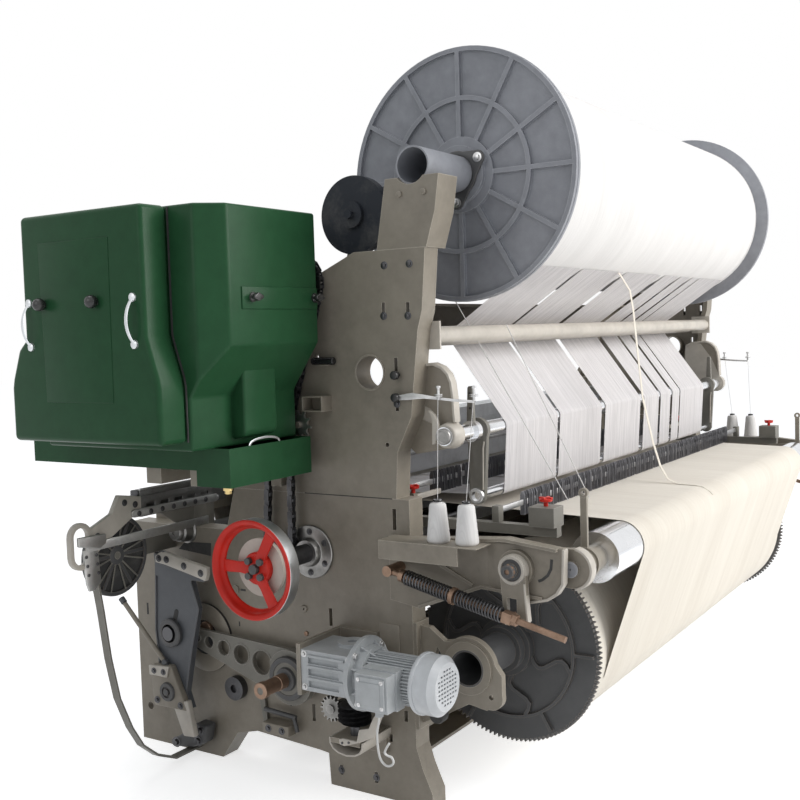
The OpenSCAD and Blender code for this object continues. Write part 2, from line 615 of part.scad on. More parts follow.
module box_cover() placed() color(green) {
    yz(box_x[0] - cover_t, box_x[0] - gap) polygon([[cover_y[0], box_top], [cover_y[0], 1445],
        [cover_y[0] - hip, 1327], [cover_y[0] - hip, 1160], [cover_y[1] + 73, 1160],
        [cover_y[1] + 73, 1327], [cover_y[1] + 30, 1450], [cover_y[1], box_top]]);
    yz(box_x[0] - cover_t - 4, box_x[0] - cover_t) polygon([[590, 1277], [868, 1277], [876, 1738],
        [584, 1738]]);
}
module ball(c, r) translate(c) rotate([0, 90, 0]) rotate_extrude()
    polygon([for (k = [0:8]) r * [sin(22.5 * k), cos(22.5 * k)]]);
cover_x = box_x[0] - cover_t;
knob_reach = 45;
module cover_knobs() placed() color(black) for (y = [643, 863]) {
    rod(cover_x - 18, cover_x - 4, 7, [y, 1561]);
    ball([cover_x - knob_reach + 17, y, 1561], 17);
}
module cover_handles() placed() color(steel) for (y = [526, 958]) {
    for (z = [1445, 1561]) rod(cover_x - 26, cover_x, 5, [y, z]);
    rod_v(1440, 1566, 5, [cover_x - 26, y]);
}
module wing_knobs() placed() color(black) for (x = [box_x[0] + 159, box_x[1] - 21]) {
    rod_y(box_y[0] - 12, box_y[0] + 8, 8, [x, 1562]);
    rod_y(box_y[0] - 24, box_y[0] - 12, 15, [x, 1562]);
}
tray_x = [box_x[0] + 92, box_x[1]];
tray_y = [347, 1187];
tray_wall = 5;
module drip_tray() placed() color(green) difference() {
    union() {
        box(tray_x, tray_y, [1069, box_low]);
        box(tray_x, [tray_y[0], 476], [1023, 1069]);
    }
    box([tray_x[0] + tray_wall, tray_x[1] - tray_wall], [tray_y[0] + tray_wall, tray_y[1] - tray_wall],
        [1069 + tray_wall, box_low + 1]);
    box([tray_x[0] + tray_wall, tray_x[1] - tray_wall], [tray_y[0] + tray_wall, 476 - tray_wall],
        [1023 + tray_wall, 1080]);
}
module tray_handle() placed() color(steel) difference() {
    box([tray_x[0] + 83, tray_x[0] + 231], [tray_y[0], tray_y[0] + tray_wall], [box_low, box_low + 24]);
    box([tray_x[0] + 93, tray_x[0] + 221], [tray_y[0] - 1, tray_y[0] + tray_wall + 1], [box_low - 1,
        box_low + 14]);
}
plug_at = [tray_x[0] + 25, 380];
module drain_plug() placed() color([0.78, 0.62, 0.30]) {
    rod_v(1013, 1023, 14, plug_at);
    translate([plug_at[0], plug_at[1], 1003]) cylinder(h = 10, r = 10, $fn = 6);
}
// Arms that carry the shedding box on the side frame
support_list = [[480, 520], [640, 700]];
module box_supports() placed() color(paint) {
    for (y = support_list) {
        box([tray_x[0] + 20, -frame_half], y, [1019, 1069]);
        box([out(45), -frame_half], y, [969, 1019]);
    }
    rod(out(45), -frame_half, 10, idler_axis);
}

// Rapier drive at each side
track_rear = 913;
track_w = 52;
track_y = [track_rear, track_rear + track_w];
ring_end = frame_half + 534;
ring_x = -ring_end + 44;
module rapier_tracks() placed() color([0.35, 0.35, 0.35]) both() {
    box([within(5), within(69)], track_y, [rear_top, 872]);
    difference() {
        box([out(240), within(170)], track_y, [872, 940]);
        box([out(245), within(175)], [track_y[0] + 8, track_y[1] - 8], [890, 925]);
    }
    box([-ring_end + 61, within(69)], [track_y[0] - 8, track_y[0]], [800, 828]);
    xz(track_y[0], track_y[0] + 16) difference() {
        union() {
            polygon([[out(240), 900], [out(240), 940], [out(333), 955], [out(365), 900], [out(455), 850],
                [out(455), 800], [out(395), 815]]);
            for (z = [790, 850]) translate([ring_x, z]) circle(r = 44);
            translate([-ring_end, 790]) square([88, 60]);
        }
        for (z = [790, 850]) translate([ring_x, z]) circle(r = 28);
        translate([ring_x - 28, 790]) square([56, 60]);
    }
}
wheel_axis = [out(300), 752];
wheel_y = [track_y[1] + 7, track_y[1] + 21];
module rapier_wheel() color(iron) {
    xz(wheel_y[0], wheel_y[1]) translate(wheel_axis) difference() {
        union() {
            difference() { circle(r = rapier_r); circle(r = rapier_r - 14); }
            circle(r = 30);
            for (i = [0:5]) rotate(60 * i) translate([0, -6]) square([rapier_r - 7, 12]);
        }
        circle(r = 12 + running);
    }
}
module rapier_wheel_left() placed() rapier_wheel();
module rapier_wheel_right() placed() mirror([1, 0, 0]) rapier_wheel();
guide_path = [[out(441), 788], [out(438), 762], [out(432), 724], [out(412), 605], [out(390), 439],
    [out(361), 301], [out(315), 190], [out(270), 116], [out(205), 60], [out(125), 22], [out(44), 22],
    [-frame_half, 22]];
module tape_guides() placed() color([0.45, 0.46, 0.46]) both() {
    xz(track_y[0] + 4, track_y[0] + 34) polygon(band(guide_path, 7));
    // Arm that carries the wheel's pin
    box([out(330), -frame_half], [wheel_y[1] + 14, wheel_y[1] + 28], [wheel_axis[1] - 30,
        wheel_axis[1] + 30]);
    rod_y(track_y[1] + 1, wheel_y[1] + 14, 12, wheel_axis);
}
module swing_arm() placed() color([0.52, 0.52, 0.46]) difference() {
    union() {
        yz(out(43), out(27)) polygon([[472, 437], [892, 457], [905, 426], [890, 394], [472, 257]]);
        rod(out(51), out(19), 90, swing_axis);
        rod(out(65), out(51), 70, swing_axis);
        rod(out(195), -web_x + 10, 22 - running, swing_axis);
    }
    for (h = [[590, 378, 40], [680, 393, 32], [757, 405, 25], [823, 416, 19], [876, 425, 13]])
        rod(out(55), out(15), h[2], [h[0], h[1]]);
}
rocker_axis = [936, 450];
module rocker_lever() placed() color([0.36, 0.42, 0.44]) difference() {
    union() {
        yz(out(101), out(79)) polygon([[1005, 690], [1009, 718], [790, 672], [779, 640], [838, 640],
            [812, 544],
            [880, 250], [860, 196], [1000, 196], [1016, 450]]);
        yz(out(125), out(101)) polygon([[860, 196], [1010, 196], [1020, 330], [930, 337]]);
        rod(out(113), out(65), 34, rocker_axis);
        yz(out(118), out(101)) polygon([[985, 690], [985, 716], [954, 732], [915, 722], [752, 690],
            [762, 652]]);
        yz(out(125), out(101)) polygon([[834, 112], [878, 108], [925, 215], [860, 225]]);
        translate([out(113), 945, 325]) rotate([-45, 0, 0]) {
            cylinder(h = 306, r = 7);
            translate([0, 0, 20]) cylinder(h = 14, r = 13, $fn = 6);
            translate([0, 0, 292]) cylinder(h = 20, r = 11);
        }
    }
    rod(out(115), out(55), 15 + running, rocker_axis);
}
module pivot_stubs() placed() color(steel) {
    rod(out(115), -frame_half, 15, rocker_axis);
    // Cover of the sley shaft's bearing, which carries the pin
    rod(-frame_half - 10, -frame_half, 118, sley_axis);
    rod(out(125), out(115), 24, rocker_axis);
    difference() {
        rod(out(27), -frame_half, 40, [735, 262]);
        rod(out(35), out(15), 14, [735, 262]);
    }
}

// Guides and supports across the loom
deflector_r = 28;
module tie_tube() placed() {
    color(cream) rod(-rim_x + 8, rim_x - 8, 27, tie_axis);
    color(cream) both() box([-rim_x, -rim_x + 8], [tie_axis[0] - 32, tie_axis[0] + 60], [1395, 1480]);
    color(steel) rod(-web_x, web_x, deflector_r, deflector_axis);
    color(paint) both() tension_bracket();
}
module tension_bracket() difference() {
    yz(-rim_x, -rim_x + 14) union() {
        polygon([[-85, 1101], [40, 1080], [75, 1110], [70, 1330], [30, 1347], [-10, 1340], [-64, 1265],
            [-121, 1137]]);
        translate(bar_axis) circle(r = 40);
    }
    rod(-rim_x - 1, -rim_x + 15, bar_r + running, bar_axis);
}
hanger_x = [within(235), within(251)];
bar_end = within(30);
module tension_bar() placed() color(steel) {
    rod(bar_end, -bar_end, bar_r, bar_axis);
    rod(hanger_x[0], -hanger_x[0], guide_r, guide_axis);
    both() {
        yz(hanger_x[0], hanger_x[1]) difference() {
            union() {
                translate(bar_axis) circle(r = 38);
                translate(guide_axis) circle(r = 26);
                polygon([bar_axis + [-20, 0], guide_axis + [-20, 0], guide_axis + [20, 0],
                    bar_axis + [20, 0]]);
            }
            translate(bar_axis) circle(r = bar_r - 1);
            translate(guide_axis) circle(r = guide_r - 1);
        }
        yz(within(195), within(207)) polygon([[-95, 1150], [-92, 1275], [-78, 1275], [-72, 1150]]);
        rod(within(189), within(213), bar_r + 9, bar_axis);
        rod(bar_end, bar_end + 30, bar_r + 4, bar_axis);
    }
}
rail_x = [within(125), within(155)];
module warp_rails() placed() color([0.55, 0.55, 0.52]) both() {
    box(rail_x, [-400, 250], [842, 872]);
    box(rail_x, [235, 265], [mid_girder[3], 842]);
    box([rail_x[0] - 20, rail_x[1] + 18], [-400, -320], [872, 930]);
    rod_v(930, 944, 6, [rail_x[0] + 14, -360]);
    rod_v(944, 952, 18, [rail_x[0] + 14, -360]);
}
heald_y = [515, 545, 575, 605];
heald_half = frame_half - 185;
heald_t = 18;
module heald_guide() difference() {
    box([-heald_half - 14, -heald_half + 12], [heald_girder[0] + 12, heald_girder[1] - 12],
        [heald_girder[3], 1180]);
    for (y = heald_y) box([-heald_half - gap, -heald_half + 20], [y - heald_t / 2 - gap,
        y + heald_t / 2 + gap],
        [heald_girder[3] + 1, 1181]);
}
heald_z = 890;
module heald_pair(first) placed() color([0.68, 0.70, 0.72]) for (y = [heald_y[first], heald_y[first + 2]]) {
    both() box([-heald_half, -heald_half + 22], [y - heald_t / 2, y + heald_t / 2], [640, 1130]);
    for (z = [640, 1080])
        box([-heald_half + 22, heald_half - 22], [y - heald_t / 2, y + heald_t / 2], [z, z + 50]);
    box([-warp_half, warp_half], [y - 2, y + 2], [heald_z + 14, 1080]);
    box([-warp_half, warp_half], [y - 2, y + 2], [690, heald_z - 14]);
}
module heald_frames_a() heald_pair(0);
module heald_frames_b() heald_pair(1);
module sley_bearings() placed() color(paint) both() {
    difference() {
        rod(-web_x, -web_x + 15, 112, sley_axis);
        rod(-web_x - 1, -web_x + 16, 32 + running, sley_axis);
    }
    heald_guide();
}
sley_half = frame_half - 215;
leg_x = sley_half - 120;
module sley() placed() color([0.50, 0.52, 0.52]) {
    rod(-frame_half + 4, frame_half - 4, 32, sley_axis);
    for (x = [-leg_x, -400, 400, leg_x]) box([x - 14, x + 14], [sley_axis[0] - 20, sley_axis[0] + 24],
        [sley_axis[1] + 20, 800]);
    box([-sley_half, sley_half], [858, 932], [800, 846]);
    box([-sley_half, sley_half], [898, 906], [846, 872]);
    box([-sley_half, sley_half], [892, 912], [955, 975]);
    both() box([-sley_half, -sley_half + 20], [896, 908], [872, 955]);
    box([-warp_half, warp_half], [900, 904], [872, heald_z - 8]);
    box([-warp_half, warp_half], [900, 904], [heald_z + 8, 955]);
}
take_up_r = 70;
take_up_half = frame_half - 255;
cloth_r = 120;
module take_up_roller() placed() {
    color(steel) rod(-frame_half + 4, frame_half - 4, 25, take_up_axis);
    color(black) rod(-take_up_half, take_up_half, take_up_r, take_up_axis);
}
module cloth_roll() placed() {
    color(steel) rod(-frame_half + 4, frame_half - 4, 25, cloth_axis);
    color(white) rod(-warp_half, warp_half, cloth_r, cloth_axis);
}

// Cone shelf outside each back rest bracket
shelf_x = [out(128), bracket_x[0] - 18];
cone_x = out(77);
cone_at = [[cone_x, -121], [cone_x, -215]];
module cone_trays() placed() color(paint) both() {
    box(shelf_x, [-270, 55], [842, 845]);
    box([shelf_x[0], shelf_x[0] + 3], [-210, 55], [790, 842]);
    for (c = cone_at) rod_v(845, 945, 6, c);
}
module yarn_cones() placed() color(white) both() for (c = cone_at) difference() {
    translate([c[0], c[1], 845]) cylinder(h = 118, r1 = 34, r2 = 24);
    rod_v(840, 970, 7, c);
}

// Warp stop motion: two rows of droppers on their contact bars
ground_heald_z = 884;
pile_heald_z = 896;
function on_line(a, b, y) = a[1] + (b[1] - a[1]) * (y - a[0]) / (b[0] - a[0]);
ground_line = [whip_axis + [0, whip_r + gap + sheet_t / 2], [490, ground_heald_z]];
row_pitch = 40;
row_half = 1120;
// One side of the comb of droppers, as [x, y] points from the left end
function comb(y, s) = [for (x = [-row_half:row_pitch:row_half - row_pitch])
    each [[x, y + s * 6], [x + 8, y + s * 9], [x + row_pitch - 8, y + s * 9], [x + row_pitch, y + s * 6]]];
module dropper_row(y, z) {
    translate([0, 0, z]) linear_extrude(74) polygon(concat(comb(y, -1),
        [for (c = comb(-y, -1)) [-c[0], -c[1]]]));
    box([rail_x[0], -rail_x[0]], [y - 5, y + 5], [z + 30, z + 50]);
}
row_y = [-200, 130];
row_z = [on_line(ground_line[0], ground_line[1], -200) + sheet_t, 915];
module warp_stops() placed() color([0.30, 0.30, 0.32]) {
    for (k = [0, 1]) dropper_row(row_y[k], row_z[k]);
    both() for (k = [0, 1]) box(rail_x, [row_y[k] - 12, row_y[k] + 12], [872, row_z[k] + 30]);
}

// Warp sheets and cloth, as bands that follow their rollers
off = gap + sheet_t / 2;
function run(w, n) = let (m = len(w) - 1, d = [for (i = [0:m - 1]) run_dir(w[i], w[i + 1])])
    [for (i = [0:m]) each i == 0 ? [off_wheel(w[0], d[0])] : i == m ? [off_wheel(w[m], d[m - 1])]
        : w[i][1] > 0 ? wrap(w[i], d[i - 1], d[i], n) : [w[i][0]]];
ground_run = [[ground_axis, ground_yarn_r + off, -1], [whip_axis, whip_r + off, -1],
    [[490, ground_heald_z], 0, 1], [[640, heald_z], 0, 1], [[985, heald_z], 0, 1],
    [breast_edge, breast_r + off, -1], [take_up_axis, take_up_r + off, -1], [cloth_axis, cloth_r + off, 1]];
pile_run = [[pile_axis, pile_yarn_r + off, 1], [deflector_axis, deflector_r + off, -1],
    [bar_axis, bar_r + off, 1], [guide_axis, guide_r + off, 1], [[490, pile_heald_z], 0, 1]];
// Widths of the pile warp's bands, as shares of the whole
pile_bands = [[-1, -0.62], [-0.60, -0.232], [-0.195, 0.172], [0.217, 0.39], [0.415, 0.538], [0.565, 0.656],
    [0.67, 1]];
module warp_sheets() placed() color(cream) {
    yz(-warp_half, warp_half) polygon(band(run(ground_run, 12), sheet_t));
    for (b = pile_bands) yz(b[0] * warp_half, b[1] * warp_half) polygon(band(run(pile_run, 8), sheet_t));
}

module guide_pulley() placed() color(black) difference() {
    union() {
        rod(pulley_x[0], pulley_x[1], 124, pulley_axis);
        rod(pulley_x[0] - 15, pulley_x[1] + 5, 42, pulley_axis);
        translate([pulley_x[0] - 32, pulley_axis[0], pulley_axis[1]]) rotate([0, 90, 0])
            cylinder(h = 17, r = 15, $fn = 6);
    }
    rod(pulley_x[0] - 14, pulley_x[1] + 6, pulley_bore, pulley_axis);
}

// The motor's short lead, with its bare end turned back in a small loop
cable_r = 3.3;
cable_path = [[-1692, -18, 371.7], [-1692, -14, 350], [-1691, -8, 325], [-1690, -7, 295], [-1690, -10, 265],
    [-1690, -18, 243], [-1688, -32, 231], [-1684, -46, 232], [-1682, -54, 242], [-1684, -50, 256],
    [-1690, -40, 262], [-1698, -36, 272], [-1703, -46, 290], [-1706, -58, 306]];
function path_dir(p, i) = unit(p[min(i + 1, len(p) - 1)] - p[max(i - 1, 0)]);
function ring_at(p, i, r, n) = let (t = path_dir(p, i), a = unit(cross(t, [1, 0.2, 0])), b = cross(t, a))
    [for (k = [0:n - 1]) p[i] + r * (cos(360 * k / n) * a + sin(360 * k / n) * b)];
module sweep(p, r, n) polyhedron([for (i = [0:len(p) - 1]) each ring_at(p, i, r, n)],
    concat([[for (k = [0:n - 1]) k]],
        [for (i = [0:len(p) - 2], k = [0:n - 1])
            [i * n + (k + 1) % n, i * n + k, (i + 1) * n + k, (i + 1) * n + (k + 1) % n]],
        [[for (k = [n - 1:-1:0]) (len(p) - 1) * n + k]]));
module motor_cable() placed() color(white) sweep(cable_path, cable_r, 8);

lower_frames();
upper_frames();
beam_cradles();
girders();
beam_brackets();
tie_tube();
warp_rails();
sley_bearings();
shedding_box();
box_cover();
box_supports();
drip_tray();
cover_handles();
cover_knobs();
wing_knobs();
tray_handle();
drain_plug();
drive_chain();
low_sprocket();
high_sprocket();
idler_sprocket();
handwheel();
handwheel_hub();
main_shaft();
drive_pulley();
rapier_wheel_left();
rapier_wheel_right();
rapier_tracks();
tape_guides();
swing_arm();
rocker_lever();
pivot_stubs();
motor_body();
fan_cover();
terminal_box();
reducer();
reducer_bracket();
worm();
let_off_shaft();
let_off_idler();
motor_cable();
pile_beam();
pile_yarn();
ground_beam();
ground_yarn();
tension_bar();
whip_roller();
back_rest_levers();
tension_springs();
spring_rods();
cone_trays();
yarn_cones();
warp_stops();
heald_frames_a();
heald_frames_b();
sley();
take_up_roller();
cloth_roll();
warp_sheets();
guide_pulley();
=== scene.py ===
import json
import math
import random
import bpy
from mathutils import Matrix, Vector


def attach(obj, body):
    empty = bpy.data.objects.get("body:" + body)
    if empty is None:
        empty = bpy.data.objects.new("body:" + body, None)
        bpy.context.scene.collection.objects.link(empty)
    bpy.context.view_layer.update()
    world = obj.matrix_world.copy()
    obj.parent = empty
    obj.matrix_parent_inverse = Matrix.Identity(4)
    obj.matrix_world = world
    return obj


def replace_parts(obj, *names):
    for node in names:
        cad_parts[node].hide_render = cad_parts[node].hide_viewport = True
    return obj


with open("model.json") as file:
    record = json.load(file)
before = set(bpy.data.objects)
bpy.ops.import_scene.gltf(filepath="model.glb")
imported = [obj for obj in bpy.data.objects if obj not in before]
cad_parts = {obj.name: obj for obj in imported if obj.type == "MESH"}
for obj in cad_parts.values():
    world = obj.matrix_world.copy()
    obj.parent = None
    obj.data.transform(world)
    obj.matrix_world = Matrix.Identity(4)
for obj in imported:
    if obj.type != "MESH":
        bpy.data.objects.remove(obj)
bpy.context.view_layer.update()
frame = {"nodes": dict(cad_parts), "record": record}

nodes = frame["nodes"]
SHIFT = Vector((0.068, -0.31935, 0))


def at(x, y, z):
    """A place given in the loom's own millimetres, in the row's metres."""
    return Vector((x, y, z)) / 1000 + SHIFT


# Camera, placed where the photograph was taken
yaw, pitch, roll = math.radians(32.84), math.radians(-3.69), math.radians(-1.77)
look = Vector((math.cos(yaw) * math.cos(pitch), math.sin(yaw) * math.cos(pitch), math.sin(pitch)))
right = look.cross(Vector((0, 0, 1))).normalized()
upward = right.cross(look)
right, upward = (math.cos(roll) * right + math.sin(roll) * upward,
                 -math.sin(roll) * right + math.cos(roll) * upward)
eye = at(-4125, -1690, 1453.4)
camera = bpy.data.objects.new("photo_camera", bpy.data.cameras.new("photo_camera"))
camera.matrix_world = Matrix(((right.x, upward.x, -look.x, eye.x), (right.y, upward.y, -look.y, eye.y),
                              (right.z, upward.z, -look.z, eye.z), (0, 0, 0, 1)))
camera.data.sensor_width = 36
camera.data.lens = 48.13
camera.data.clip_end = 60
bpy.context.scene.collection.objects.link(camera)
bpy.context.scene.camera = camera


def deselect():
    if bpy.context.object and bpy.context.object.mode != "OBJECT":
        bpy.ops.object.mode_set(mode="OBJECT")
    bpy.ops.object.select_all(action="DESELECT")


def put(tree, kind, inputs=None, **settings):
    """A shader node with its settings made and its inputs set or joined."""
    node = tree.nodes.new(kind)
    for name, value in settings.items():
        setattr(node, name, value)
    for name, value in (inputs or {}).items():
        socket = node.inputs[name]
        if isinstance(value, bpy.types.NodeSocket):
            tree.links.new(value, socket)
        else:
            socket.default_value = value
    return node


def solve(tree, operation, a, b=0.0, c=0.0):
    return put(tree, "ShaderNodeMath", {0: a, 1: b, 2: c}, operation=operation).outputs[0]


def times(tree, a, b):
    return solve(tree, "MULTIPLY", a, b)


def ramp(tree, value, low, high, to_low=0.0, to_high=1.0):
    return put(tree, "ShaderNodeMapRange", {"Value": value, "From Min": low, "From Max": high,
                                            "To Min": to_low, "To Max": to_high}, clamp=True).outputs[0]


def between(tree, share, a, b):
    """A colour between a and b."""
    return put(tree, "ShaderNodeMix", {0: share, 6: a, 7: b}, data_type="RGBA").outputs[2]


def effect(name, inputs, outputs):
    """A node group with named inputs and outputs, returned with the sockets of both."""
    tree = bpy.data.node_groups.new(name, "ShaderNodeTree")
    for label, value in inputs.items():
        socket = tree.interface.new_socket(name=label, in_out="INPUT", socket_type="NodeSocketFloat")
        socket.default_value = value
    for label in outputs:
        tree.interface.new_socket(name=label, in_out="OUTPUT", socket_type="NodeSocketFloat")
    return tree, tree.nodes.new("NodeGroupInput").outputs, tree.nodes.new("NodeGroupOutput").inputs


def speckle(tree, place, scale, detail=3.0, rough=0.6, stretch=None):
    if stretch:
        place = put(tree, "ShaderNodeMapping", {"Vector": place, "Scale": stretch}).outputs[0]
    return put(tree, "ShaderNodeTexNoise", {"Vector": place, "Scale": scale, "Detail": detail,
                                            "Roughness": rough}).outputs["Fac"]


def place_of(tree):
    return put(tree, "ShaderNodeTexCoord").outputs["Object"]


# Bare, rubbed edges
edge_wear, given, out = effect("edge_wear", {"Width": 0.004, "Amount": 1.0, "Patches": 14.0}, ["Mask"])
softened = put(edge_wear, "ShaderNodeBevel", {"Radius": given["Width"]}, samples=4).outputs[0]
flat = put(edge_wear, "ShaderNodeNewGeometry").outputs["Normal"]
bend = put(edge_wear, "ShaderNodeVectorMath", {0: softened, 1: flat}, operation="DOT_PRODUCT")
patches = speckle(edge_wear, place_of(edge_wear), given["Patches"], 5.0, 0.7)
rub = times(edge_wear, solve(edge_wear, "SUBTRACT", 1.0, bend.outputs["Value"]), given["Amount"])
edge_wear.links.new(ramp(edge_wear, times(edge_wear, rub, patches), 0.03, 0.13), out["Mask"])

# Dust and oil that settled in patches
grime, given, out = effect("grime", {"Size": 3.0, "Amount": 1.0}, ["Mask"])
here = place_of(grime)
broad = speckle(grime, here, given["Size"], 6.0, 0.65)
fine = speckle(grime, here, times(grime, given["Size"], 14.0), 4.0, 0.7)
cloud = times(grime, ramp(grime, broad, 0.48, 0.72), ramp(grime, fine, 0.3, 0.7, 0.4, 1.0))
grime.links.new(times(grime, cloud, given["Amount"]), out["Mask"])

# Grain of sand castings and thick paint
cast_grain, given, out = effect("cast_grain", {"Size": 260.0}, ["Height", "Tone"])
here = place_of(cast_grain)
cast_grain.links.new(speckle(cast_grain, here, given["Size"], 4.0, 0.6), out["Height"])
cast_grain.links.new(speckle(cast_grain, here, times(cast_grain, given["Size"], 0.08), 4.0, 0.6), out["Tone"])

# Turned or drawn metal: fine lines across X
tool_lines, given, out = effect("tool_lines", {"Size": 900.0}, ["Height", "Smudge"])
here = place_of(tool_lines)
tool_lines.links.new(speckle(tool_lines, here, given["Size"], 2.0, 0.5, (1.0, 0.02, 0.02)), out["Height"])
tool_lines.links.new(speckle(tool_lines, here, 7.0, 5.0, 0.7), out["Smudge"])

# Threads that lie side by side along X
thread_lay, given, out = effect("thread_lay", {"Threads": 420.0, "Runs": 9.0}, ["Height", "Tone"])
here = place_of(thread_lay)
threads = speckle(thread_lay, here, given["Threads"], 2.0, 0.7, (1.0, 0.015, 0.015))
runs = speckle(thread_lay, here, given["Runs"], 6.0, 0.75, (1.0, 0.05, 0.05))
thread_lay.links.new(threads, out["Height"])
both = solve(thread_lay, "ADD", times(thread_lay, threads, 0.5), times(thread_lay, runs, 0.5))
thread_lay.links.new(both, out["Tone"])


def use(tree, group, **values):
    node = put(tree, "ShaderNodeGroup", node_tree=group)
    for name, value in values.items():
        node.inputs[name].default_value = value
    return node.outputs


finishes = {}


def surface(name, **sockets):
    """A material with its plain sockets set, returned with its tree and its shader."""
    material = finishes[name] = bpy.data.materials.new(name + "_finish")
    material.use_nodes = True
    tree = material.node_tree
    shader = tree.nodes["Principled BSDF"]
    for label, value in sockets.items():
        shader.inputs[label.replace("_", " ")].default_value = value
    return material, tree, shader


def join(tree, source, shader, label):
    tree.links.new(source, shader.inputs[label])


def raise_by(tree, shader, height, strength, distance=0.001):
    bump = put(tree, "ShaderNodeBump", {"Strength": strength, "Distance": distance, "Height": height})
    join(tree, bump.outputs[0], shader, "Normal")


def shade(colour, k):
    return tuple(min(1.0, c * k) for c in colour[:3]) + (1.0,)


def paint(name, colour, worn, roughness=0.45, wear=1.0, dirt=1.0, grain=0.25, coat=0.0, grime_size=3.0,
        shine=0.5):
    """Enamel over a casting or sheet: edges rubbed to another tone, dust and oil in patches."""
    material, tree, shader = surface(name, Coat_Weight=coat, Coat_Roughness=0.08, Specular_IOR_Level=shine)
    edges = use(tree, edge_wear, Amount=wear)["Mask"]
    dust = use(tree, grime, Amount=dirt, Size=grime_size)["Mask"]
    grainy = use(tree, cast_grain)
    tone = between(tree, ramp(tree, grainy["Tone"], 0.3, 0.7), shade(colour, 0.90), shade(colour, 1.08))
    dusty = between(tree, times(tree, dust, 0.55), tone, shade(colour, 0.48))
    join(tree, between(tree, edges, dusty, worn), shader, "Base Color")
    join(tree, ramp(tree, dust, 0.0, 1.0, roughness, min(1.0, roughness + 0.25)), shader, "Roughness")
    raise_by(tree, shader, grainy["Height"], grain)
    return material


def metal(name, colour, roughness=0.3, smudge=0.15, lines=0.05, dark=0.6, wear=0.6):
    """Bare metal with tool lines, smudges and brighter edges."""
    material, tree, shader = surface(name, Metallic=1.0)
    marks = use(tree, tool_lines)
    edges = use(tree, edge_wear, Amount=wear)["Mask"]
    spots = ramp(tree, marks["Smudge"], 0.42, 0.72)
    body = between(tree, spots, shade(colour, 1.0), shade(colour, dark))
    join(tree, between(tree, edges, body, shade(colour, 1.35)), shader, "Base Color")
    join(tree, ramp(tree, spots, 0.0, 1.0, roughness, roughness + smudge), shader, "Roughness")
    raise_by(tree, shader, marks["Height"], lines)
    return material


def moulded(name, colour, roughness, shine=0.5):
    material, tree, shader = surface(name, Specular_IOR_Level=shine)
    grainy = use(tree, cast_grain, Size=420.0)
    dust = use(tree, grime, Size=9.0)["Mask"]
    join(tree, between(tree, times(tree, dust, 0.3), shade(colour, 1.0), (0.3, 0.29, 0.27, 1)), shader,
         "Base Color")
    join(tree, ramp(tree, dust, 0.0, 1.0, roughness, roughness + 0.2), shader, "Roughness")
    raise_by(tree, shader, grainy["Height"], 0.08)
    return material


def yarn(name, colour, shadow, threads=420.0, lift=0.35, runs=9.0):
    """Threads laid side by side, soft and a little fuzzy."""
    material, tree, shader = surface(name, Roughness=0.9, Sheen_Weight=0.25, Sheen_Roughness=0.6)
    lay = use(tree, thread_lay, Threads=threads, Runs=runs)
    join(tree, between(tree, ramp(tree, lay["Tone"], 0.35, 0.62), shadow, colour), shader, "Base Color")
    raise_by(tree, shader, lay["Height"], lift, 0.0015)
    return material


frame_paint = paint("frame_paint", (0.265, 0.235, 0.190), (0.55, 0.50, 0.42, 1), 0.42, 0.9, 1.0)
cream_enamel = paint("cream_enamel", (0.54, 0.50, 0.44), (0.74, 0.71, 0.64, 1), 0.35, 0.4, 0.6)
green_enamel = paint("green_enamel", (0.019, 0.074, 0.031), (0.06, 0.15, 0.08, 1), 0.30, 0.35, 0.35, 0.10,
                     0.0, 1.4, 0.13)
red_enamel = paint("red_enamel", (0.60, 0.020, 0.010), (0.66, 0.12, 0.08, 1), 0.36, 0.4, 0.25, 0.10,
                   shine=0.3)
grey_enamel = paint("grey_enamel", (0.19, 0.180, 0.155), (0.46, 0.44, 0.40, 1), 0.45, 0.9, 1.0)
motor_silver = paint("motor_silver", (0.46, 0.48, 0.49), (0.72, 0.73, 0.74, 1), 0.36, 0.5, 0.6)
fan_silver = paint("fan_silver", (0.60, 0.62, 0.64), (0.78, 0.79, 0.80, 1), 0.34, 0.5, 0.4)
beam_casting = paint("beam_casting", (0.30, 0.31, 0.34), (0.58, 0.59, 0.62, 1), 0.44, 0.8, 0.8, 0.45)
dark_casting = paint("dark_casting", (0.075, 0.076, 0.078), (0.24, 0.20, 0.165, 1), 0.5, 0.9, 0.8, 0.5)
blue_casting = paint("blue_casting", (0.082, 0.088, 0.098), (0.22, 0.20, 0.18, 1), 0.46, 0.9, 0.8, 0.4)
metal("roller_chrome", (0.80, 0.81, 0.83), 0.12, 0.22, 0.03, 0.86, 0.1)
bright_steel = metal("bright_steel", (0.56, 0.56, 0.56), 0.30, 0.2, 0.12, 0.55)
heald_metal = metal("heald_metal", (0.70, 0.72, 0.74), 0.32, 0.2, 0.1, 0.75)
worn_steel = metal("worn_steel", (0.30, 0.295, 0.285), 0.32, 0.25, 0.1, 0.5, 1.0)
strip_steel = metal("strip_steel", (0.47, 0.47, 0.46), 0.42, 0.22, 0.1, 0.6, 0.9)
oiled_steel = metal("oiled_steel", (0.10, 0.10, 0.105), 0.38, 0.25, 0.1, 0.5, 1.0)
track_steel = metal("track_steel", (0.24, 0.24, 0.235), 0.42, 0.25, 0.1, 0.5, 0.8)
dropper_metal = metal("dropper_metal", (0.29, 0.29, 0.31), 0.34, 0.25, 0.05, 0.45)
rusty_rod = metal("rusty_rod", (0.30, 0.205, 0.15), 0.5, 0.25, 0.3, 0.6)
metal("plug_brass", (0.78, 0.60, 0.28), 0.25, 0.2, 0.1, 0.7)
black_knob = moulded("black_knob", (0.018, 0.018, 0.019), 0.22)
moulded("black_pulley", (0.020, 0.024, 0.032), 0.5, 0.22)
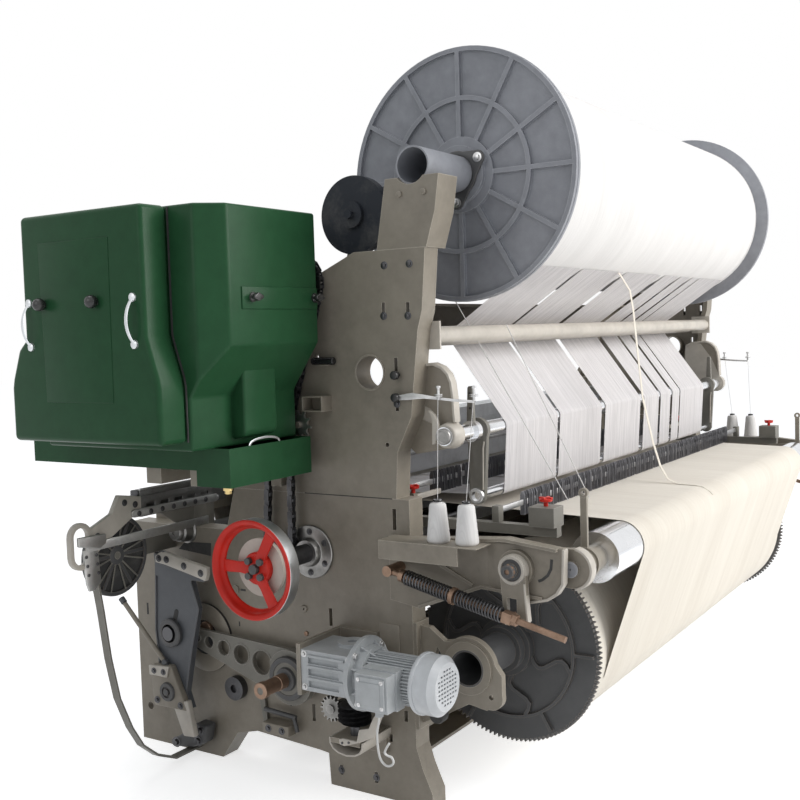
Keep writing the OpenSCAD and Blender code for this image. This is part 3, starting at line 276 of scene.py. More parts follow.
# Black rubber. The same finish also serves as painted shade inside the slots and openings drawn below.
roller_rubber = moulded("roller_rubber", (0.03, 0.03, 0.03), 0.75)
white_lead = moulded("white_lead", (0.74, 0.74, 0.72), 0.4)
white_yarn = yarn("white_yarn", (0.84, 0.825, 0.81, 1), (0.70, 0.685, 0.67, 1))
cream_yarn = yarn("cream_yarn", (0.80, 0.75, 0.66, 1), (0.66, 0.60, 0.51, 1), 380.0, 0.4)

# CAD nodes whose finish differs from their slot's plain one
OTHER_FINISH = {"rocker_lever": "blue_casting", "main_shaft": "oiled_steel", "low_sprocket": "oiled_steel",
                "swing_arm": "grey_enamel", "pivot_stubs": "oiled_steel", "let_off_shaft": "worn_steel",
                "fan_cover": "fan_silver"}
for entry in frame["record"]["subparts"]:
    node = nodes[entry["node"]]
    node.data.materials.clear()
    node.data.materials.append(finishes[OTHER_FINISH.get(entry["node"], entry["material_slot"])])


def choose(piece):
    deselect()
    piece.select_set(True)
    bpy.context.view_layer.objects.active = piece


def dress(piece, material, body="frame", smooth=40):
    """Gives a piece its finish, puts its origin at the row's and lets it ride on its body."""
    choose(piece)
    bpy.ops.object.transform_apply(location=True, rotation=True, scale=True)
    if smooth:
        bpy.ops.object.shade_smooth_by_angle(angle=math.radians(smooth))
    piece.data.materials.clear()
    piece.data.materials.append(material)
    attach(piece, body)
    return piece


def edit_all():
    bpy.ops.object.mode_set(mode="EDIT")
    bpy.ops.mesh.select_all(action="SELECT")


def first_point(name, point):
    """A new piece that is one point, in edit mode."""
    deselect()
    bpy.ops.mesh.primitive_plane_add(size=0.01, location=point)
    piece = bpy.context.object
    piece.name = piece.data.name = name
    edit_all()
    bpy.ops.mesh.merge(type="CENTER")
    return piece


def draw(points):
    """Extrudes the chosen point along a line of points."""
    for a, b in zip(points, points[1:]):
        bpy.ops.mesh.extrude_region_move(TRANSFORM_OT_translate={"value": Vector(b) - Vector(a)})


def tidy_faces():
    bpy.ops.mesh.select_all(action="SELECT")
    bpy.ops.mesh.remove_doubles(threshold=0.00002)
    bpy.ops.mesh.normals_make_consistent(inside=False)
    bpy.ops.object.mode_set(mode="OBJECT")


def apply_all(piece):
    choose(piece)
    for modifier in list(piece.modifiers):
        bpy.ops.object.modifier_apply(modifier=modifier.name)


def turned(name, profile, middle, axis, steps=64):
    """Spins [along, radius] points round an axis. A profile that stays off the axis is closed on itself."""
    axis = Vector(axis)
    side = axis.orthogonal().normalized()
    if profile[0][1] and profile[-1][1]:
        profile = profile + profile[:1]
    points = [middle + axis * (a / 1000) + side * (r / 1000) for a, r in profile]
    piece = first_point(name, points[0])
    draw(points)
    bpy.ops.mesh.select_all(action="SELECT")
    bpy.ops.mesh.spin(steps=steps, angle=math.tau, center=middle, axis=axis)
    tidy_faces()
    return piece


def rounded(piece, width, segments=3, limit=25):
    edge = piece.modifiers.new("rounded", "BEVEL")
    edge.width, edge.segments, edge.limit_method = width / 1000, segments, "ANGLE"
    edge.angle_limit = math.radians(limit)
    apply_all(piece)
    return piece


# How the two numbers of a flat outline give a place, and which way the outline is thickened
LIES = {"x": (lambda a, u, v: at(a, u, v), Vector((1, 0, 0))),
        "y": (lambda a, u, v: at(u, a, v), Vector((0, 1, 0))),
        "z": (lambda a, u, v: at(u, v, a), Vector((0, 0, 1)))}


def drawn(name, outline, a0, along="x"):
    """An outline drawn as edges, returned in edit mode with the way that it is thickened."""
    place, way = LIES[along]
    points = [place(a0, u, v) for u, v in outline]
    piece = first_point(name, points[0])
    draw(points)
    bpy.ops.mesh.select_all(action="SELECT")
    return piece, way


def pulled(way, length):
    bpy.ops.mesh.extrude_region_move(TRANSFORM_OT_translate={"value": way * length / 1000})
    tidy_faces()


def slab(name, outline, a0, a1, bevel=0.0, segments=3, along="x"):
    """An outline in the loom's millimetres, filled and extruded from a0 to a1, with rounded edges."""
    piece, way = drawn(name, outline, a0, along)
    bpy.ops.mesh.edge_face_add()
    pulled(way, a1 - a0)
    return rounded(piece, bevel, segments) if bevel else piece


def block(name, x, y, z, bevel=0.0, segments=2):
    face = [(y[0], z[0]), (y[1], z[0]), (y[1], z[1]), (y[0], z[1])]
    return slab(name, face, min(x), max(x), bevel, segments)


def ribbon(name, line, a0, a1, wall, bevel=0.0, along="x"):
    """A strip of metal bent along a line of points. Its width runs from a0 to a1."""
    piece, way = drawn(name, line, a0, along)
    pulled(way, a1 - a0)
    thick = piece.modifiers.new("wall", "SOLIDIFY")
    thick.thickness, thick.offset, thick.use_even_offset = wall / 1000, 0, True
    apply_all(piece)
    return rounded(piece, bevel, 2, 40) if bevel else piece


def pin(place, axis, radius, length, sides=32):
    """A round or hexagonal bar with its middle at a place. Radius and length are in millimetres."""
    deselect()
    turn = Vector(axis).to_track_quat("Z", "Y").to_euler()
    bpy.ops.mesh.primitive_cylinder_add(vertices=sides, radius=radius / 1000, depth=length / 1000,
                                        location=place, rotation=turn)
    bpy.ops.object.transform_apply(location=True, rotation=True, scale=True)
    return bpy.context.object


def cut(piece, *cutters):
    """Takes the cutters out of a piece."""
    for cutter in cutters:
        hole = piece.modifiers.new("hole", "BOOLEAN")
        hole.object, hole.operation, hole.solver = cutter, "DIFFERENCE", "EXACT"
        apply_all(piece)
        bpy.data.objects.remove(cutter, do_unlink=True)
    return piece


def joined(name, pieces):
    deselect()
    for piece in pieces:
        piece.select_set(True)
    bpy.context.view_layer.objects.active = pieces[0]
    bpy.ops.object.join()
    pieces[0].name = name
    return pieces[0]


def copied(piece, move):
    twin = piece.copy()
    twin.data = piece.data.copy()
    twin.matrix_world = move @ piece.matrix_world
    bpy.context.scene.collection.objects.link(twin)
    return twin


def all_round(name, piece, middle, axis, angles):
    """Copies of a piece, turned round an axis through a middle point by angles in degrees."""
    ring = [copied(piece, Matrix.Translation(middle) @ Matrix.Rotation(math.radians(a), 4, axis)
                   @ Matrix.Translation(-middle)) for a in angles]
    bpy.data.objects.remove(piece, do_unlink=True)
    return joined(name, ring)


def arc(u, v, radius, a0, a1, n):
    """Points on an arc, with its angles in degrees."""
    return [(u + radius * math.cos(math.radians(a0 + (a1 - a0) * i / n)),
             v + radius * math.sin(math.radians(a0 + (a1 - a0) * i / n))) for i in range(n + 1)]


# The makers below take places on the near side. A star in a name stands for the side and asks for both.
SIDES = (("left", 1), ("right", -1))


def each_side(name):
    return [(name.replace("*", side), side, sign) for side, sign in (SIDES if "*" in name else SIDES[:1])]


def lathe(name, profile, place, steps, material, body="frame", axis=(-1, 0, 0)):
    """A turned piece with its finish."""
    x, y, z = place
    made = [dress(turned(label, profile, at(x * sign, y, z), (axis[0] * sign, *axis[1:]), steps), material,
                  body.replace("*", side)) for label, side, sign in each_side(name)]
    return made[0]


def shaped(make, name, outline, a0, a1, sizes, material, body="frame", along="x"):
    """A slab or ribbon with its finish. Its sizes are what its maker takes after a0 and a1."""
    made = []
    for label, side, sign in each_side(name):
        if along == "x":
            piece = make(label, outline, a0 * sign, a1 * sign, *sizes)
        else:
            piece = make(label, [(u * sign, v) for u, v in outline], a0, a1, *sizes, along=along)
        made.append(dress(piece, material, body))
    return made[0]


def box(name, x, y, z, sizes, material):
    """A block with its finish, fixed to the frame."""
    for label, side, sign in each_side(name):
        dress(block(label, (x[0] * sign, x[1] * sign), y, z, *sizes), material)


def rod(name, a, b, radius, material, body="frame", sides=20, bevel=0.6):
    """A straight bar from one place to another, with its finish."""
    for label, side, sign in each_side(name):
        start, end = (at(x * sign, y, z) for x, y, z in (a, b))
        piece = pin((start + end) / 2, end - start, radius, (end - start).length * 1000, sides)
        piece.name = label
        dress(rounded(piece, bevel, 2, 40) if bevel else piece, material, body)


def bolts(name, spots, radius, height, material=oiled_steel, body="frame", sides=6, washer=1.55,
          toward=(-1, 0, 0)):
    """Bolt heads, each on its washer, that stand on a face at the spots given."""
    for label, side, sign in each_side(name):
        way = Vector((toward[0] * sign, *toward[1:]))
        head = pin(way * height / 2000, way, radius, height, sides)
        if washer:
            head = joined(label, [head, pin(way * 0.001, way, radius * washer, 2, 24)])
        rounded(head, min(1.0, radius * 0.12), 2, 30)
        row = [copied(head, Matrix.Translation(at(x * sign, y, z))) for x, y, z in spots]
        bpy.data.objects.remove(head, do_unlink=True)
        dress(joined(label, row), material, body, smooth=30)


def on(x, *pairs):
    """Spots on a face that lies across X."""
    return [(x, y, z) for y, z in pairs]


# Outer face of the near frame, and the axes that run across the loom, as (y, z)
FACE = -1435
MAIN, SWING = (400, 757), (472, 347)
PILE, GROUND, CLOTH = (-10, 1940), (-150, 450), (1050, 280)
BAR, GUIDE, WHIP, PIVOT = (-85, 1137), (-80, 930), (-490, 780), (-345, 780)
HALF_WARP = 1050

# Motor lead
lead_marks = [at(*p) for p in (
    (-1692, -18, 371.7), (-1692, -14, 350), (-1691, -8, 325), (-1690, -7, 295), (-1690, -10, 265),
    (-1690, -18, 243), (-1688, -32, 231), (-1684, -46, 232), (-1682, -54, 242), (-1684, -50, 256),
    (-1690, -40, 262), (-1698, -36, 272), (-1703, -46, 290), (-1706, -58, 306))]
LEAD_THICKNESS = 0.0066


def eased(marks, n):
    """More points on a smooth line through the marks."""
    points = []
    for k in range(len(marks) - 1):
        a, b, c, d = (marks[min(max(k + j, 0), len(marks) - 1)] for j in (-1, 0, 1, 2))
        for t in (i / n for i in range(n)):
            points.append(b + (c - a) * t / 2 + (2 * a - 5 * b + 4 * c - d) * t * t / 2
                          + (3 * b - a - 3 * c + d) * t ** 3 / 2)
    return points + [marks[-1]]


lead_points = eased(lead_marks, 3)
lead_curve = bpy.data.curves.new("motor_lead", "CURVE")
lead_curve.dimensions = "3D"
run = lead_curve.splines.new("POLY")
run.points.add(len(lead_points) - 1)
for point, place in zip(run.points, lead_points):
    point.co = (*place, 1)
lead_curve.bevel_depth = LEAD_THICKNESS / 2
lead_curve.bevel_resolution = 6
lead_curve.use_fill_caps = True
motor_lead = bpy.data.objects.new("motor_lead", lead_curve)
bpy.context.scene.collection.objects.link(motor_lead)
lead_curve.materials.append(white_lead)
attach(motor_lead, "frame")
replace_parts(motor_lead, "motor_cable")

# Wound yarn on the beams
random.seed(7)


def wound(name, node, middle, half, bore, radius, material, body, steps=90, ripple=0.8):
    """Yarn wound between two flanges: slightly uneven across its width, with a closed bore."""
    lay = [(-half, bore), (-half, radius - 4)]
    for i in range(steps + 1):
        x = -half + 2 * half * i / steps
        edge = 3.0 * (abs(x) > half - 25)
        lay.append((x, radius - edge - ripple * (0.5 + 0.5 * math.sin(i * 1.7) * math.cos(i * 0.61))
                    - random.random() * ripple * 0.4))
    lay += [(half, radius - 4), (half, bore)]
    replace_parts(dress(turned(name, lay, at(0, *middle), (1, 0, 0), 96), material, body), node)


PILE_RADIUS, GROUND_RADIUS = 350, 292
wound("pile_package", "pile_yarn", PILE, 1106.7, 57.05, PILE_RADIUS, white_yarn, "pile_warp_beam")
wound("ground_package", "ground_yarn", GROUND, 1129.7, 56.05, GROUND_RADIUS, cream_yarn, "ground_warp_beam")


# Warp sheets and cloth: each follows a line over its rollers, given as ((y, z), radius, side)
def off_wheel(wheel, heading):
    (y, z), radius, side = wheel
    return (y + side * radius * math.sin(heading), z - side * radius * math.cos(heading))


def run_heading(a, b):
    (ay, az), ar, s = a
    (by, bz), br, t = b
    return math.atan2(bz - az, by - ay) + math.asin((s * ar - t * br) / math.dist((ay, az), (by, bz)))


def wrap(wheel, start, end, n):
    sweep = end - start
    if wheel[2] > 0 and sweep < 0:
        sweep += math.tau
    if wheel[2] < 0 and sweep > 0:
        sweep -= math.tau
    return [off_wheel(wheel, start + sweep * i / n) for i in range(n + 1)]


def over_rollers(wheels, n):
    """The line of a sheet that passes round each wheel in turn, as [y, z] points."""
    headings = [run_heading(a, b) for a, b in zip(wheels, wheels[1:])]
    points = [off_wheel(wheels[0], headings[0])]
    for wheel, before, after in zip(wheels[1:-1], headings, headings[1:]):
        points += wrap(wheel, before, after, n) if wheel[1] else [wheel[0]]
    return points + [off_wheel(wheels[-1], headings[-1])]


OFF = 1.8   # from a roller's face to the middle of the sheet on it
fell = ((985, 890), 0, 1)
ground_run = over_rollers([(GROUND, GROUND_RADIUS + OFF, -1), (WHIP, 75 + OFF, -1), ((490, 884), 0, 1),
                           ((640, 890), 0, 1), fell], 24)
cloth_run = over_rollers([fell, ((1168, 858), 22 + OFF, -1), ((1085, 690), 70 + OFF, -1),
                          (CLOTH, 120 + OFF, 1)], 12)
pile_run = over_rollers([(PILE, PILE_RADIUS + OFF, 1), ((62, 1430), 28 + OFF, -1), (BAR, 24 + OFF, 1),
                         (GUIDE, 16 + OFF, 1), ((490, 896), 0, 1)], 12)


def spaced(run, step):
    """The run with more points on its long straight parts."""
    points = [run[0]]
    for a, b in zip(run, run[1:]):
        n = max(1, int(math.dist(a, b) / step))
        points += [(a[0] + (b[0] - a[0]) * i / n, a[1] + (b[1] - a[1]) * i / n) for i in range(1, n + 1)]
    return points


def strip(name, run, x0, x1, material, thick):
    """A stretched band that follows a run over its rollers."""
    piece, way = drawn(name, spaced(run, 60), x0)
    pulled(way, x1 - x0)
    wall = piece.modifiers.new("wall", "SOLIDIFY")
    wall.thickness, wall.offset = thick / 1000, 0
    apply_all(piece)
    dress(piece, material)
    return piece


def gauze(name, colour, cover):
    """An open sheet of parallel threads that lets what is behind show a little."""
    material, tree, shader = surface(name, Roughness=0.85, Sheen_Weight=0.2)
    lay = use(tree, thread_lay, Threads=340.0, Runs=60.0)
    join(tree, between(tree, ramp(tree, lay["Tone"], 0.3, 0.65), shade(colour, 0.88), colour), shader,
         "Base Color")
    join(tree, ramp(tree, lay["Tone"], 0.30, 0.62, cover, 0.96), shader, "Alpha")
    raise_by(tree, shader, lay["Height"], 0.3, 0.001)
    return material


pile_gauze = gauze("pile_gauze", (0.76, 0.735, 0.74, 1), 0.62)
terry = yarn("terry_cloth", (0.80, 0.77, 0.71, 1), (0.62, 0.58, 0.51, 1), 260.0, 0.8, 30.0)
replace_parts(strip("ground_warp", ground_run, -HALF_WARP, HALF_WARP, cream_yarn, 1.2),
            "warp_sheets")
strip("terry_web", cloth_run, -HALF_WARP, HALF_WARP, terry, 2.4)
BANDS = ((-HALF_WARP, -651), (-630, -243.6), (-204.8, 180.6), (227.9, 409.5), (435.8, 564.9),
         (593.3, 688.8), (703.5, HALF_WARP))
for k, (a, b) in enumerate(BANDS):
    strip("pile_warp_%d" % (k + 1), pile_run, a, b, pile_gauze, 0.8)

# Cloth roll
layers = [(-HALF_WARP, 25), (-HALF_WARP, 116)]
layers += [(-HALF_WARP + 2 * HALF_WARP * i / 40, 120 - (0.8 if i % 3 else 0)) for i in range(41)]
layers += [(HALF_WARP, 116), (HALF_WARP, 25)]
roll = lathe("cloth_on_roll", layers, (0, *CLOTH), 72, terry, "cloth_roll", axis=(1, 0, 0))
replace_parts(roll, "cloth_roll")
lathe("cloth_roll_shaft", [(-1431, 0), (-1431, 22), (-1428, 25), (1428, 25), (1431, 22), (1431, 0)],
      (0, *CLOTH), 32, bright_steel, "cloth_roll", axis=(1, 0, 0))

# Yarn cones with their cores, thread brakes over them and the threads between
CONE_X = -1512
cone_profile = [(0, 7), (0, 30), (3, 33), (8, 34)]
cone_profile += [(8 + 10 * i, 33.5 - 0.95 * i + 0.4 * (i % 2)) for i in range(1, 11)]
cone_profile += [(112, 21), (113, 13), (117, 11), (118, 8.5), (116, 7)]
for k, (cone_y, brake_y) in enumerate(((-121, -100), (-215, -218))):
    cone = lathe("cone_*_%d" % (k + 1), cone_profile, (CONE_X, cone_y, 845), 48, white_yarn, axis=(0, 0, 1))
    if k == 0:
        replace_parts(cone, "yarn_cones")
    lathe("cone_core_*_%d" % (k + 1), [(0, 6.4), (0, 12.5), (3, 13.5), (6.5, 12), (7, 6.4)],
          (CONE_X, cone_y, 961.5), 28, black_knob, axis=(0, 0, 1))
    lathe("thread_brake_*_%d" % (k + 1), [
        (0, 0), (0, 4.5), (10, 4.5), (10.5, 12.5), (12.5, 12.5), (13, 4.5), (14.5, 4.5), (15, 12.5),
        (17, 12.5), (17.5, 4.5), (34, 4), (34.5, 7.5), (41, 7.5), (42, 0)],
        (-1456, brake_y, 1250), 28, bright_steel, axis=(0, 0, 1))
    rod("cone_thread_*_%d" % (k + 1), (-1458, brake_y, 1263), (CONE_X, cone_y, 962), 0.9, white_yarn,
        sides=8, bevel=0)
for k, z in enumerate((1322, 1255)):
    lathe("guide_knob_*_%d" % (k + 1), [(0, 0), (0, 7), (9, 7), (10, 11.5), (13, 13.5), (26, 13.5),
                                        (29, 11.5), (30, 0)], (FACE, 50, z), 32, black_knob)
shaped(slab, "guide_arm_*", [
    (66, 1247), (66, 1263), (32, 1264), (-7, 1270), (-46, 1265), (-94, 1258), (-150, 1253), (-216, 1249),
    (-222, 1246), (-216, 1242), (-150, 1245), (-94, 1250), (-46, 1253), (13, 1248)],
    -1452, -1448, (1, 2), bright_steel)

# Shedding box: its body has the near corner towards the warp cut off
BOX_X, BOX_Y, BOX_TOP, BOX_LOW = (-1957, -1490), (300, 1000), 1820, 1135
COVER_X = BOX_X[0] - 103
body = slab("box_body", [(BOX_Y[0], BOX_TOP), (BOX_Y[0], 1428), (400, 1284), (400, BOX_LOW),
                         (BOX_Y[1], BOX_LOW), (BOX_Y[1], BOX_TOP)], *BOX_X)
choose(body)
edit_all()
bpy.ops.mesh.bisect(plane_co=at(BOX_X[0], BOX_Y[0] + 66, 0), plane_no=(-0.7071, -0.7071, 0), use_fill=True,
                    clear_outer=True)
tidy_faces()
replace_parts(dress(rounded(body, 9, 4), green_enamel), "shedding_box")
shaped(slab, "box_boss", [(352, 1414), (352, 1176), (366, 1160), (420, 1150), (420, 1440), (372, 1432)],
       -1786, -1640, (9, 4), green_enamel)
shaped(slab, "latch_plate", [(296, 1592), (296, 1528), (302, 1528), (302, 1592)], -1842, -1496, (2.4, 3),
       green_enamel)
cover = shaped(slab, "cover_shell", [
    (457, BOX_TOP), (457, 1462), (448, 1432), (419, 1345), (414, 1318), (414, 1160), (1030, 1160),
    (1030, 1318), (1024, 1345), (991, 1432), (957, 1462), (957, BOX_TOP)],
    COVER_X, BOX_X[0] - 0.6, (16, 5), green_enamel, "cover")
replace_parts(cover, "box_cover")
shaped(slab, "cover_panel", [(876, 1738), (868, 1277), (590, 1277), (584, 1738)], COVER_X - 2.2,
       COVER_X + 2, (2, 3), green_enamel, "cover")
shaped(ribbon, "box_gasket", [(455, BOX_TOP - 4), (455, 1462), (446, 1432), (417, 1345), (412, 1318),
                              (412, 1162)], -1961, -1956.6, (4,), roller_rubber, "cover")

ball = [(2, 0), (2, 13), (-3, 12)]
ball += [(-18 + 19 * math.cos(math.radians(a)), 19 * math.sin(math.radians(a))) for a in range(35, 181, 14)]
ball += [(-37, 0)]
for k, y in enumerate((643, 863)):
    knob = lathe("cover_knob_%d" % (k + 1), ball, (COVER_X, y, 1561), 40, black_knob, "cover",
                 axis=(1, 0, 0))
    if k == 0:
        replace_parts(knob, "cover_knobs")

REACH, HALF_GRIP = 30, 66
bow = (HALF_GRIP ** 2 + REACH ** 2) / (2 * REACH)
open_angle = math.asin(HALF_GRIP / bow)
for k, y in enumerate((496, 926)):
    middle = at(COVER_X - REACH + bow, y, 1503)
    start_at = middle + Vector((-bow * math.cos(open_angle), 0, -bow * math.sin(open_angle))) / 1000
    deselect()
    bpy.ops.mesh.primitive_circle_add(vertices=20, radius=0.006, fill_type="NGON", location=start_at,
                                      rotation=(0, open_angle, 0))
    grip = bpy.context.object
    grip.name = "cover_grip_%d" % (k + 1)
    edit_all()
    bpy.ops.mesh.spin(steps=24, angle=2 * open_angle, center=middle, axis=(0, -1, 0))
    tidy_faces()
    dress(grip, heald_metal, "cover")
    if k == 0:
        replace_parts(grip, "cover_handles")
    for z in (1439, 1567):
        lathe("grip_foot_%d_%d" % (k + 1, z), [(1, 0), (1, 13), (-6, 12), (-9, 8), (-9, 0)],
              (COVER_X, y, z), 28, heald_metal, "cover", axis=(1, 0, 0))

TRAY_X, TRAY_Y = -1865, 347
tray_line = [(TRAY_X + 87, BOX_LOW + 1)]
tray_line += [(TRAY_X + 157 - 66 * math.cos(math.pi * i / 12), BOX_LOW + 4 + 15 * math.sin(math.pi * i / 12))
              for i in range(13)]
tray_line += [(TRAY_X + 227, BOX_LOW + 1)]
handle = shaped(ribbon, "tray_grip", tray_line, TRAY_Y, TRAY_Y + 3.9, (7, 1.2), heald_metal, along="y")
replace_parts(handle, "tray_handle")

for k, x in enumerate((-1798, -1511)):
    stem = lathe("wing_stem_%d" % (k + 1), [(4, 0), (4, 15), (-4, 14), (-8, 8), (-16, 8), (-16, 0)],
                 (x, 296, 1562), 24, black_knob, axis=(0, 1, 0))
    if k == 0:
        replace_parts(stem, "wing_knobs")
    deselect()
    bpy.ops.mesh.primitive_cylinder_add(vertices=24, radius=0.012, depth=0.014, location=at(x, 277, 1562),
                                        rotation=(math.pi / 2, 0, 0))
    wing = bpy.context.object
    wing.name = "wing_knob_%d" % (k + 1)
    for point in wing.data.vertices:
        angle = math.atan2(point.co.y, point.co.x)
        point.co.xy *= 1.0 + 0.75 * max(0.0, math.cos(2 * angle)) ** 2
    dress(rounded(wing, 2.5, 3, 40), black_knob)

# Handwheel
WHEEL_X = -1718
wheel_at = at(WHEEL_X, *MAIN)
rim = lathe("wheel_rim", [
    (-16, 145.5), (-16, 150.4), (-17.5, 151.2), (-20, 150.6), (-21.4, 148.5), (-21.4, 145), (-20.2, 142),
    (-19, 138.5), (-15.5, 134.5), (-7.5, 131.5), (-1, 129), (4, 124.5), (8, 121.5), (12, 121.5), (14, 124),
    (15, 130), (19, 142), (19, 145.5)], (WHEEL_X, *MAIN), 96, red_enamel, "main_drive", axis=(1, 0, 0))
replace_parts(rim, "handwheel")
lathe("wheel_band", [(-15.7, 145.7), (-15.7, 151), (-15, 151.6), (25, 151.6), (27.5, 150.5), (28, 148.5),
                     (27, 146.5), (24, 145.7)],
      (WHEEL_X, *MAIN), 96, heald_metal, "main_drive", axis=(1, 0, 0))
lathe("wheel_hub", [(30.5, 0), (30.5, 46), (28, 49), (10, 49), (7, 46), (7, 0)], (WHEEL_X, *MAIN), 48,
      red_enamel, "main_drive", axis=(1, 0, 0))
arm = slab("wheel_spoke", [(MAIN[0] + r, MAIN[1] + w) for r, w in (
    (24, -22), (60, -17), (116, -19), (127, -24), (127, 24), (116, 19), (60, 17), (24, 22))],
    WHEEL_X + 4, WHEEL_X + 13, 3.5, 3)
dress(all_round("wheel_spokes", arm, wheel_at, (1, 0, 0), (0, 120, 240)), red_enamel, "main_drive")
bolts("wheel_bolts", on(WHEEL_X + 7, *arc(*MAIN, 32, 45, 315, 3)), 10.6, 14.5, dark_casting, "main_drive",
      20, 0)
bolts("wheel_nut", on(WHEEL_X + 7, MAIN), 15, 17, dark_casting, "main_drive", 20, 0)

# Tension springs on their rods
SPRING_A, SPRING_B = Vector((48, 746)), Vector((-515, 611))
along = (SPRING_B - SPRING_A).normalized()
tilt = math.atan2(along.y, along.x)


def coil_spring(name, x, start, end, turns=15, outer=23, wire=6.4):
    """A wire coil along a rod, from one distance to another along it."""
    deselect()
    bpy.ops.mesh.primitive_circle_add(vertices=10, radius=wire / 2000, rotation=(math.pi / 2, 0, 0))
    spring = bpy.context.object
    spring.name = name
    bpy.ops.object.transform_apply(location=False, rotation=True, scale=False)
    edit_all()
    bpy.ops.transform.translate(value=((outer - wire / 2) / 1000, 0, 0))
    bpy.ops.object.mode_set(mode="OBJECT")
    winding = spring.modifiers.new("winding", "SCREW")
    winding.axis, winding.iterations, winding.steps, winding.render_steps = "Z", turns, 20, 20
    winding.screw_offset = (end - start - wire) / turns / 1000
    winding.use_normal_calculate = True
    apply_all(spring)
    edit_all()
    bpy.ops.mesh.fill_holes(sides=12)
    tidy_faces()
    spring.rotation_euler = (tilt - math.pi / 2, 0, 0)
    foot = SPRING_A + along * (start + wire / 2)
    spring.location = at(x, foot.x, foot.y)
    return dress(spring, oiled_steel, smooth=60)


for side, sign in SIDES:
    long_spring = coil_spring("long_spring_" + side, -1520 * sign, 57, 217)
    coil_spring("short_spring_" + side, -1520 * sign, 231, 387.5)
    if side == "left":
        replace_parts(long_spring, "tension_springs")

# Warp stop droppers
DROPPER_STEP = 7.5


def dropper_row(name, y, z):
    """One thin notched plate, repeated across the loom, each hanging at its own height."""
    count = int(2240 / DROPPER_STEP)
    plate = slab(name, [(y - 8, z), (y + 8, z), (y + 8, z + 62), (y + 4, z + 74), (y - 4, z + 74),
                        (y - 8, z + 62)], -1120, -1118.6)
    row = plate.modifiers.new("row", "ARRAY")
    row.count, row.use_relative_offset, row.use_constant_offset = count, False, True
    row.constant_offset_displace = (DROPPER_STEP / 1000, 0, 0)
    apply_all(plate)
    per = len(plate.data.vertices) // count
    for k in range(count):
        drop = random.uniform(-4.5, 0) / 1000
        lean = random.uniform(-1.5, 1.5) / 1000
        for point in plate.data.vertices[k * per:(k + 1) * per]:
            point.co.z += drop * (point.co.z > (z + 30) / 1000)
            point.co.x += lean * (point.co.z - z / 1000) / 0.074
    return dress(plate, dropper_metal, smooth=0)


for k, (y, z) in enumerate(((-200, 866.0), (130, 915.0))):
    row = dropper_row("droppers_%d" % (k + 1), y, z)
    if k == 0:
        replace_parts(row, "warp_stops")
    box("contact_bar_%d" % (k + 1), (-1309, 1309), (y - 4, y + 4), (z + 31, z + 49), (1,), bright_steel)
    shaped(slab, "stop_block_*_%d" % (k + 1), [(y - 12, 872), (y + 12, 872), (y + 12, z + 56),
                                               (y - 12, z + 56)], -1310, -1280, (2, 2), grey_enamel)

# Dressing of the side frames
lathe("window_tube_*", [(4, 54.9), (4.5, 52), (3, 49.5), (-74, 49.5), (-74, 54.9)], (FACE, 152, 1330), 56,
      frame_paint)
for (side, sign), neck in zip(SIDES, (34, 16)):
    dress(turned("shaft_flange_" + side, [
        (0, 30.5), (0, 84), (2, 86), (8, 86), (10, 84), (10, 50), (13, 46), (neck - 2, 43), (neck, 41),
        (neck, 30.5)], at(FACE * sign, *MAIN), (-sign, 0, 0), 56), worn_steel)
bolts("flange_bolts_*", on(FACE - 10, *arc(*MAIN, 66, 90, 390, 5)), 7, 5.5, washer=1.5)
bolts("frame_bolts_*", on(FACE, (88, 1651), (-1, 1651), (95, 1500), (9, 1498), (57, 1235), (312, 56),
                          (177, 58)), 8, 7, washer=1.5)
box("seam_*", (FACE, FACE - 0.7), (86, 420), (943.6, 946.4), (), roller_rubber)

# Bracket of the tension bar: a plate with a thick lip and a boss, and a lever beside it
for side, sign in SIDES:
    plate = slab("tension_plate_" + side, [
        (75, 1108), (76, 1300), (66, 1332), (34, 1348), (-34, 1352), (-63, 1341), (-83, 1321), (-94, 1296),
        (-100, 1250), (-102, 1204), (-104, 1172), (-122, 1150), (-125, 1132), (-116, 1110), (-98, 1099),
        (-80, 1097), (40, 1076)], -1363 * sign, -1347 * sign, 2.5, 3)
    opening = slab("opening", [(-40, 1172), (-34, 1196), (-18, 1214), (10, 1226), (30, 1206), (17, 1184),
                               (-14, 1172)], -1380 * sign, -1355 * sign)
    dress(cut(plate, opening), frame_paint)
shaped(ribbon, "tension_lip_*", [(66, 1332), (34, 1347), (-34, 1351), (-62, 1340), (-82, 1321), (-93, 1296),
                                 (-99, 1250), (-101, 1204), (-103, 1176)],
       -1374, -1340, (9, 2.5), cream_enamel)
lathe("tension_boss_*", [(0, 28.5), (0, 41), (12, 39), (34, 36), (37, 33), (37, 28.5)], (-1360, *BAR), 40,
      cream_enamel)
lathe("bar_end_*", [(1, 0), (1, 24.6), (-6, 24.6), (-8.5, 22.5), (-8.5, 18.5), (-6.5, 17), (-6.5, 0)],
      (-1405, *BAR), 36, worn_steel, "tension_bar", (1, 0, 0))
shaped(slab, "boss_lever_*", [
    (-25, 1213), (-35, 1212), (-48, 1201), (-58, 1183), (-62, 1162), (-56, 1145), (-50, 1114), (-38, 1110),
    (-39, 1151), (-40, 1186), (-33, 1201)], -1397.5, -1384, (2.5, 3), cream_enamel)

